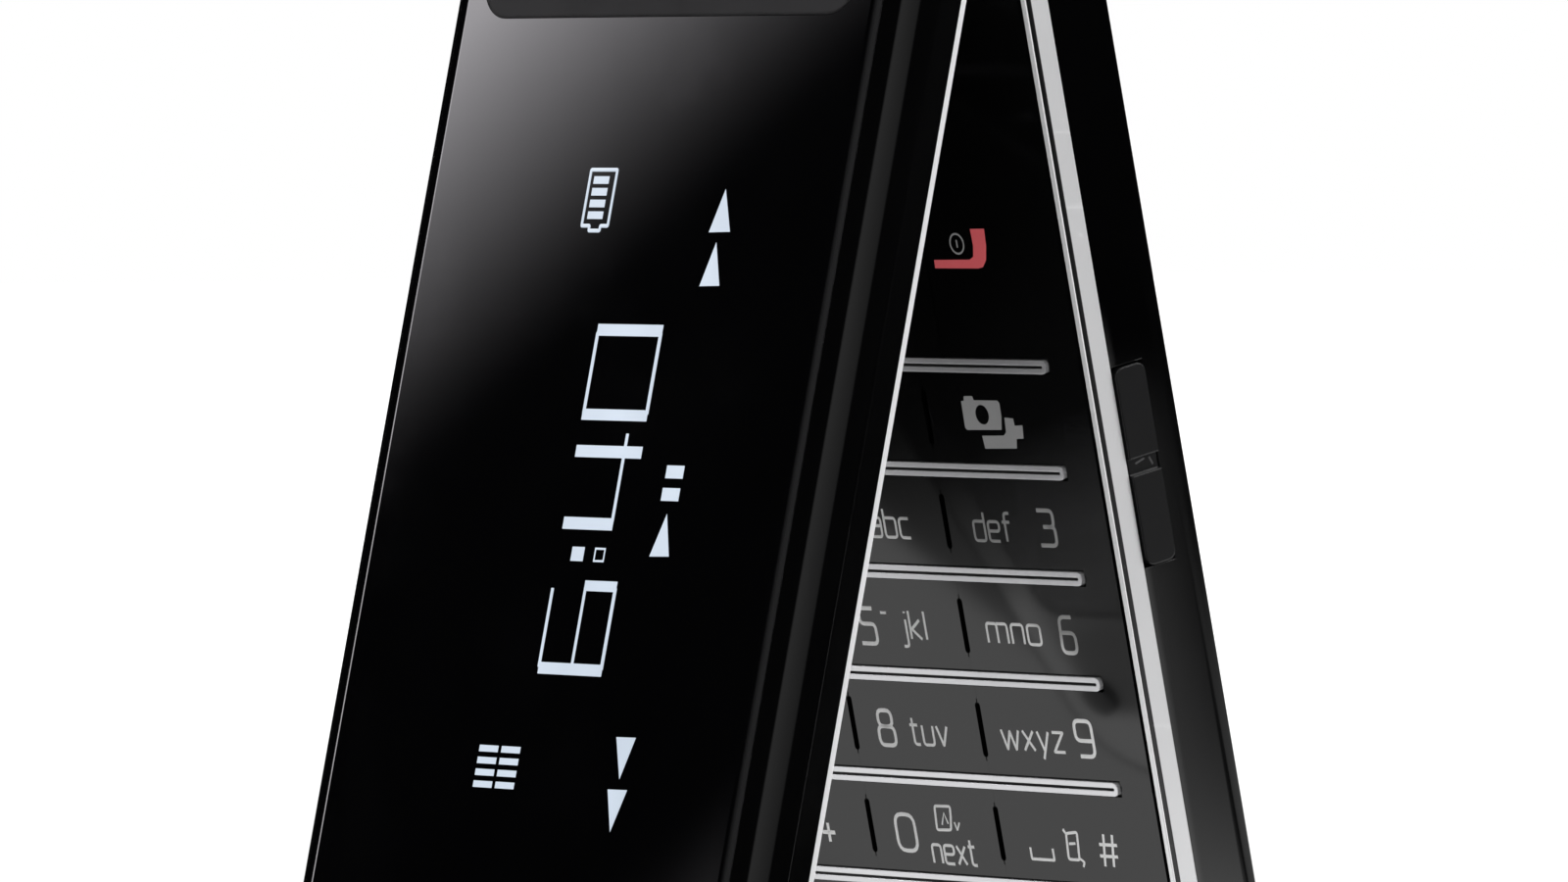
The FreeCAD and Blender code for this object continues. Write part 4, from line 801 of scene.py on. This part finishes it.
clockBlocks = readPoints(
    "-1.2,35.8,6.0,36.65 -1.25,41.9,5.95,42.7 -1.27,36.4,-0.95,42.2 5.68,36.4,6.03,42.2 -1.23,44.5,6.07,45.36 "
    "4.0,43.6,4.3,49.9 -1.22,49.65,4.28,50.52 2.36,54.12,5.9,54.87 -1.27,54.76,-0.97,60.4 2.35,54.6,2.63,60.2 "
    "5.62,54.6,5.96,60.4 -1.15,60.04,5.9,60.88")
screenSign("clock_digits", fills=[block(*sides) for sides in clockBlocks])
screenSign("clock_colon", drawn(screen["colonLine"], "0o 2.86,51.84 3.9,51.84 3.9,52.72 2.86,52.72"),
           [block(0.29, 51.76, 1.65, 52.78)])
screenSign("play_marks", fills=[block(9.1, 45.76, 11.0, 46.68), block(9.05, 47.36, 10.95, 48.28),
                                [readPoints("8.87,52.25 10.99,52.2 9.99,49.2")]])
skips = ("9.16,29.15 11.45,29.1 10.2,26.05", "9.16,33.0 11.32,32.95 10.18,29.85", "8.74,65.05 9.86,68.0 10.87,65.02",
         "8.79,68.75 9.84,71.72 10.91,68.72")
screenSign("skip_marks", fills=[[readPoints(skip)] for skip in skips])
screenSign("battery_sign", drawn(
    screen["batteryLine"],
    "0.08o -5.03,24.7 -2.12,24.7 -2.12,28.75 -2.95,28.75 -2.95,29.1 -4.15,29.1 -4.15,28.75 -5.03,28.75"),
    [block(-4.55, 25.17 + screen["barPitch"] * i, -2.85, 25.72 + screen["barPitch"] * i) for i in range(4)])
screenSign("signal_sign", fills=[
    block(x, 66.15 + screen["signalPitch"] * i, x + 2.1, 66.62 + screen["signalPitch"] * i)
    for i in range(4) for x in (-6.12, -3.65)])
print("outer display signs drawn")

# the lens stack of the camera; a profile is (radius, height) from the middle out
lens = {
    "fromHinge": 9.75, "under": 5.15, "steps": 48,
    "retainer": "0.88,0.02 0.88,0.14 1.04,0.16 1.06,0.26 1.24,0.28 1.28,0.38 1.46,0.42 1.56,0.52 1.56,0.02 0.88,0.02",
    "front": "0,0.4 0.3,0.385 0.58,0.33 0.78,0.24 0.86,0.14 0.86,0.03 0,0.03",
}


def spunPiece(name, profile, material):
    work = bmesh.new()
    line = [work.verts.new((r, 0, h)) for r, h in readPoints(profile)]
    edges = [work.edges.new(pair) for pair in zip(line, line[1:])]
    bmesh.ops.spin(work, geom=line + edges, cent=(0, 0, 0), axis=(0, 0, 1), angle=math.tau, steps=lens["steps"],
                   use_merge=True)
    plate = lidPlate(lens["under"]) @ Matrix.Translation((0, -lens["fromHinge"], 0))
    return finishPiece(name, work, plate, material, "lid")


spunPiece("lens_retainer", lens["retainer"], finishes["camera_black"])
frontGlass = spunPiece("lens_front_element", lens["front"], finishes["coated_lens"])
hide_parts("camera_lens")

# a woven mesh behind the ear slot
earMesh = {"fromHinge": 78.5, "length": 7.9, "width": 0.9, "depth": 0.62, "thick": 0.08, "round": 0.48}


def makeEarMesh():
    work = bmesh.new()
    bmesh.ops.create_grid(work, x_segments=1, y_segments=1, size=0.5)
    bmesh.ops.scale(work, vec=(earMesh["length"], earMesh["width"], 1), verts=work.verts)
    bmesh.ops.bevel(work, geom=list(work.verts), offset=earMesh["width"] * earMesh["round"], offset_type="OFFSET",
                    segments=8, profile=0.5, affect="VERTICES", material=-1)
    raiseFaces(work, list(work.faces), earMesh["thick"])
    plate = lidInnerPlate(earMesh["depth"]) @ Matrix.Translation((0, -earMesh["fromHinge"], 0))
    return finishPiece("earpiece_mesh", work, plate, finishes["mesh_black"], "lid")


makeEarMesh()

# a small relief mark at the rocker's waist, drawn in paint: an arrow in painted shade, and a foot in painted
# highlight in the waist itself
rockerFace = {"across": 25.78, "waistAcross": 25.444}
inkPiece("volume_mark", wallPlate(rockerFace["across"]), "volume_rocker", inks["wallShade"],
         drawn(0.26, "0.15 2.7,44.5 3.7,44.05 4.8,43.9"))
inkPiece("volume_mark_foot", wallPlate(rockerFace["waistAcross"]), "volume_rocker", inks["wallHighlight"],
         drawn(0.2, "0 3.1,45.15 4.0,44.95") + drawn(0.22, "0 4.45,44.95 4.7,45.55"))
print("lens, mesh and side mark made")


def stageMaterial(name, piece):
    material = bpy.data.materials.new(name)
    material.use_nodes = True
    piece.data.materials.append(material)
    tree = material.node_tree
    tree.nodes.clear()
    return tree, tree.nodes.new("ShaderNodeOutputMaterial").inputs["Surface"]


# a pale floor; gloss sees it fade with distance, darker past a line at the front left, and dark under a flag at the
# front right. Ranges are (from, to, value at from, value at to), in metres from the middle or from the line.
ground = {
    "half": 4.0, "under": 0.0002, "grain": 30.0, "shades": ((0.46, 0.46, 0.46), (0.48, 0.48, 0.48)),
    "glow": (0.3, 0.9, 0.55, 1, True),
    "toRight": (-0.01, 0.01, 0, 1, True),
    "rightFade": -5.2, "rightLevel": 3.9, "rightMost": 1.2,
    "flagWay": (-0.643, 0.766, 0), "flagEdge": (-0.013, -0.008, 1, 0, True),
    "lineSlope": 0.5, "lineEdge": (-0.0145, -0.0125, 0, 1, True),
    "leftReach": (0.2, 1.2, 1.05, 0.35), "pastLine": (0.08, 0.13, 0.41, 0.05),
    "besideLine": (0.012, 0.042, 0, 1, True), "besideReach": (0.12, 0.22, 1, 0, True),
}
# light that comes by way of the lid's inner side is seen brighter, and full bright nearest the foot
byWayOfLid = {
    "slope": 1.5, "slantEdge": (-0.0546, -0.053, 1, 0, True), "footEdge": (-0.016, -0.0145, 1, 0, True),
    "fullReach": (0.046, 0.052, 1, 0, True), "full": 6.6,
    "fade": (0.018, 0.04, 3.4, 0.2), "dip": (0.01, 0.014, 0.72, 1.0), "reach": (0.062, 0.08, 1.0, 0.3),
}


def lidBounceOf(axes, away, beyond):
    slant = sumOf(axes["X"], productOf(axes["Y"], byWayOfLid["slope"]))
    full = largestOf(rangeNode(slant, *byWayOfLid["slantEdge"]),
                     rangeNode(axes["Y"], *byWayOfLid["footEdge"]))
    full = productOf(full, rangeNode(away, *byWayOfLid["fullReach"]))
    faded = productOf(rangeNode(beyond, *byWayOfLid["fade"]),
                      rangeNode(beyond, *byWayOfLid["dip"]), rangeNode(away, *byWayOfLid["reach"]))
    return mixValues(full, faded, byWayOfLid["full"])


def opposite(value):
    return minus(1.0, value)


def makeFloor():
    work = bmesh.new()
    bmesh.ops.create_grid(work, x_segments=8, y_segments=8, size=ground["half"])
    floor = addMesh("studio_floor", work)
    floor.location.z = cadBox[0].z - ground["under"]
    tree, surface = stageMaterial("studio_floor_white", floor)
    path = addNode("LightPath", {}, tree).outputs
    here = addNode("TexCoord", {}, tree).outputs["Object"]
    away = addNode("VectorMath", {0: here}, operation="LENGTH").outputs["Value"]
    pale = mixColours(noiseNode(here, ground["grain"]), *ground["shades"])
    diffuse = addNode("BsdfDiffuse", {"Color": pale})
    glow = addNode("Emission", {"Strength": rangeNode(away, *ground["glow"])})
    both = addNode("AddShader", {0: diffuse.outputs[0], 1: glow.outputs[0]})

    axes = axesOf(here)
    onRight = rangeNode(axes["X"], *ground["toRight"])
    rightReach = mathNode("EXPONENT", productOf(away, ground["rightFade"]))
    rightReach = productOf(rightReach, ground["rightLevel"])
    rightReach = mathNode("MINIMUM", rightReach, ground["rightMost"])
    flag = rangeNode(dotNode(here, ground["flagWay"]), *ground["flagEdge"])
    flag = productOf(flag, onRight)
    right = productOf(rightReach, opposite(flag))

    beyond = minus(axes["Y"], productOf(axes["X"], ground["lineSlope"]))
    nearSide = rangeNode(beyond, *ground["lineEdge"])
    beside = productOf(rangeNode(beyond, *ground["besideLine"]),
                       rangeNode(away, *ground["besideReach"]))
    leftReach = productOf(rangeNode(away, *ground["leftReach"]), opposite(beside))
    dim = rangeNode(away, *ground["pastLine"])
    left = sumOf(productOf(nearSide, leftReach), productOf(opposite(nearSide), dim))
    bounces = mathNode("ABSOLUTE", minus(path["Glossy Depth"], 2.0))
    secondBounce = mathNode("LESS_THAN", bounces, 0.5)
    left = mixValues(secondBounce, left, lidBounceOf(axes, away, beyond))

    seenInGloss = sumOf(productOf(left, opposite(onRight)), productOf(right, onRight))
    mirrored = addNode("Emission", {"Strength": seenInGloss})
    choose = addNode("MixShader", {0: path["Is Glossy Ray"], 1: both.outputs[0], 2: mirrored.outputs[0]})
    tree.links.new(choose.outputs[0], surface)


# what surrounds the phone: white to the camera, plain fill light, and soft panels that only gloss sees
surround = {
    "fill": 0.5, "least": 0.004,
    "frontTurn": -31, "frontEdge": (0.86, 0.91, 0, 1, True),
    "sideTurn": -121, "sideRamp": (-0.45, 0.45, 0.25, 0.54),
    "above": (0.45, 0.8, 0.0, 0.8, True),
    "rearTurns": (61, 91), "rearLean": 0.2, "rearEdge": (0.022, 0.044, 0.42, 0.0),
    "panelWidth": (0.55, 0.97, 0, 1, True), "panelHeight": (0.1, 0.34, 0.0, 0.8, True),
}


def makeWorld():
    world = bpy.data.worlds.new("studio_world")
    scene.world = world
    world.use_nodes = True
    tree = world.node_tree
    tree.nodes.clear()
    path = addNode("LightPath", {}, tree).outputs
    towards = addNode("TexCoord", {}, tree).outputs["Generated"]
    height = axesOf(towards)["Z"]

    def facing(turn):
        return dotNode(towards, (math.cos(math.radians(turn)), math.sin(math.radians(turn)), 0.0))

    frontGlow = productOf(rangeNode(facing(surround["frontTurn"]), *surround["frontEdge"]),
                          rangeNode(facing(surround["sideTurn"]), *surround["sideRamp"]))
    above = rangeNode(height, *surround["above"])
    beside, behind = (facing(turn) for turn in surround["rearTurns"])
    lean = productOf(opposite(behind), surround["rearLean"])
    rearGlow = productOf(mathNode("POWER", largestOf(beside, 0.0), 3.0),
                         rangeNode(sumOf(height, lean), *surround["rearEdge"]))
    rearPanel = productOf(rangeNode(behind, *surround["panelWidth"]),
                          rangeNode(height, *surround["panelHeight"]))
    rear = largestOf(rearGlow, rearPanel, surround["least"])
    gloss = largestOf(largestOf(frontGlow, above), rear)
    fill = addNode("Mix", {"Factor": path["Is Glossy Ray"], "A": surround["fill"], "B": gloss})
    seen = largestOf(path["Is Camera Ray"], path["Is Transmission Ray"])
    final = addNode("Mix", {"Factor": seen, "A": fill.outputs["Result"], "B": 1.0})
    glow = addNode("Background", {"Color": (1, 1, 1, 1), "Strength": final.outputs["Result"]})
    tree.links.new(glow.outputs[0], addNode("OutputWorld", {}, tree).inputs["Surface"])


# a softbox with a graded light, parallel to the lid and seen in gloss alone: bright towards its upper left, dark
# elsewhere. The light is worked out for the spot on the lid where the eye sees it, in mm and grey steps.
card = {
    "lidFace": 5.95, "ahead": 400.0, "middle": (-500, 30), "half": (230, 260),
    "eyeAcross": 673.3, "eyeFromHinge": 145.5, "reach": 0.743,
    "first": (-2.96, -3.98, 126 - 2.96 * 18.76 + 3.98 * 16.58), "second": (3.5, 3.3, -3.5 * 13.34 - 3.3 * 73.7),
    "secondMost": 45.0, "secondEnd": (22.4, 24.0, 1, 0, True), "most": 150.0, "mirror": 0.058,
    "tint": (0.985, 0.955, 1.0, 1),
}


def makeCard():
    work = bmesh.new()
    bmesh.ops.create_grid(work, x_segments=2, y_segments=2, size=1.0)
    bmesh.ops.scale(work, vec=(*card["half"], 1), verts=work.verts)
    bmesh.ops.translate(work, vec=(*card["middle"], 0), verts=work.verts)
    softbox = addMesh("graded_softbox", work)
    softbox.matrix_world = lidPlate(card["lidFace"] + card["ahead"])
    for kind in ("camera", "diffuse", "transmission", "shadow", "volume_scatter"):
        setattr(softbox, "visible_" + kind, False)
    tree, surface = stageMaterial("graded_softbox_light", softbox)
    axes = axesOf(addNode("TexCoord", {}, tree).outputs["Object"])
    k = card["reach"]
    across = mathNode("DIVIDE", sumOf(axes["X"], k * card["eyeAcross"]), 1 + k)
    down = productOf(axes["Y"], -1.0)
    down = mathNode("DIVIDE", sumOf(down, k * card["eyeFromHinge"]), 1 + k)

    def slope(perAcross, perDown, start):
        return sumOf(productOf(across, perAcross), productOf(down, perDown), start)

    second = productOf(mathNode("MINIMUM", slope(*card["second"]), card["secondMost"]),
                       rangeNode(across, *card["secondEnd"]))
    grey = largestOf(slope(*card["first"]), second, 0.0)
    grey = mathNode("DIVIDE", mathNode("MINIMUM", grey, card["most"]), 255.0)
    light = mathNode("DIVIDE", mathNode("POWER", grey, 2.2), card["mirror"])
    tree.links.new(addNode("Emission", {"Color": card["tint"], "Strength": light}).outputs[0], surface)


lamps = {
    # name: angle from +X towards the front, height angle, distance m, size m, watts, seen in gloss
    "front_softbox": (70, 52, 1.3, 0.7, 4.2, True),
    "left_softbox": (135, 48, 1.3, 0.6, 2.4, False),
    "rear_right_softbox": (-42, 32, 1.1, 0.55, 5.0, True),
    "rear_left_softbox": (-130, 40, 1.2, 0.6, 3.0, True),
}


def makeLamps():
    aim = (cadBox[0] + cadBox[1]) / 2
    for name, (turn, rise, distance, size, watts, glossy) in lamps.items():
        data = bpy.data.lights.new(name, "AREA")
        data.shape = "SQUARE"
        data.size = size
        data.energy = watts
        lamp = addObject(name, data)
        a, e = math.radians(turn), math.radians(rise)
        ray = Vector((math.cos(a) * math.cos(e), -math.sin(a) * math.cos(e), math.sin(e)))
        lamp.location = aim + ray * distance
        lamp.rotation_mode = "QUATERNION"
        lamp.rotation_quaternion = ray.to_track_quat("Z", "Y")
        lamp.visible_glossy = glossy
        lamp.visible_camera = False


makeFloor()
makeWorld()
makeCard()
makeLamps()
print("studio ready")

# the camera, from a fit of the phone's edges; the first three are degrees, the clip metres and the rest mm
eye = {"around": 50.0, "rise": 1.36765, "roll": 0.02577, "distance": 876.738, "shiftRight": 1.7166,
       "shiftUp": -42.001, "lensMm": 283.93, "filmWidth": 36.0, "clip": (0.01, 50.0)}


def makeCamera():
    a, e, r = (math.radians(eye[k]) for k in ("around", "rise", "roll"))
    back = Vector((math.sin(a) * math.cos(e), -math.cos(a) * math.cos(e), math.sin(e)))
    right = Vector((math.cos(a), math.sin(a), 0))
    up = back.cross(right)
    turnedRight = right * math.cos(r) + up * math.sin(r)
    turnedUp = up * math.cos(r) - right * math.sin(r)
    data = bpy.data.cameras.new("photo_camera")
    data.sensor_width = eye["filmWidth"]
    data.lens = eye["lensMm"]
    data.clip_start, data.clip_end = eye["clip"]
    camera = addObject("photo_camera", data)
    spot = back * eye["distance"] + turnedRight * eye["shiftRight"] + turnedUp * eye["shiftUp"]
    spot += Vector((0, stance["hingeBack"], stance["hingeHeight"]))
    placed = Matrix((turnedRight, turnedUp, back)).transposed().to_4x4()
    placed.translation = spot * 0.001
    camera.matrix_world = placed
    scene.camera = camera


makeCamera()
scene.view_settings.view_transform = "Standard"
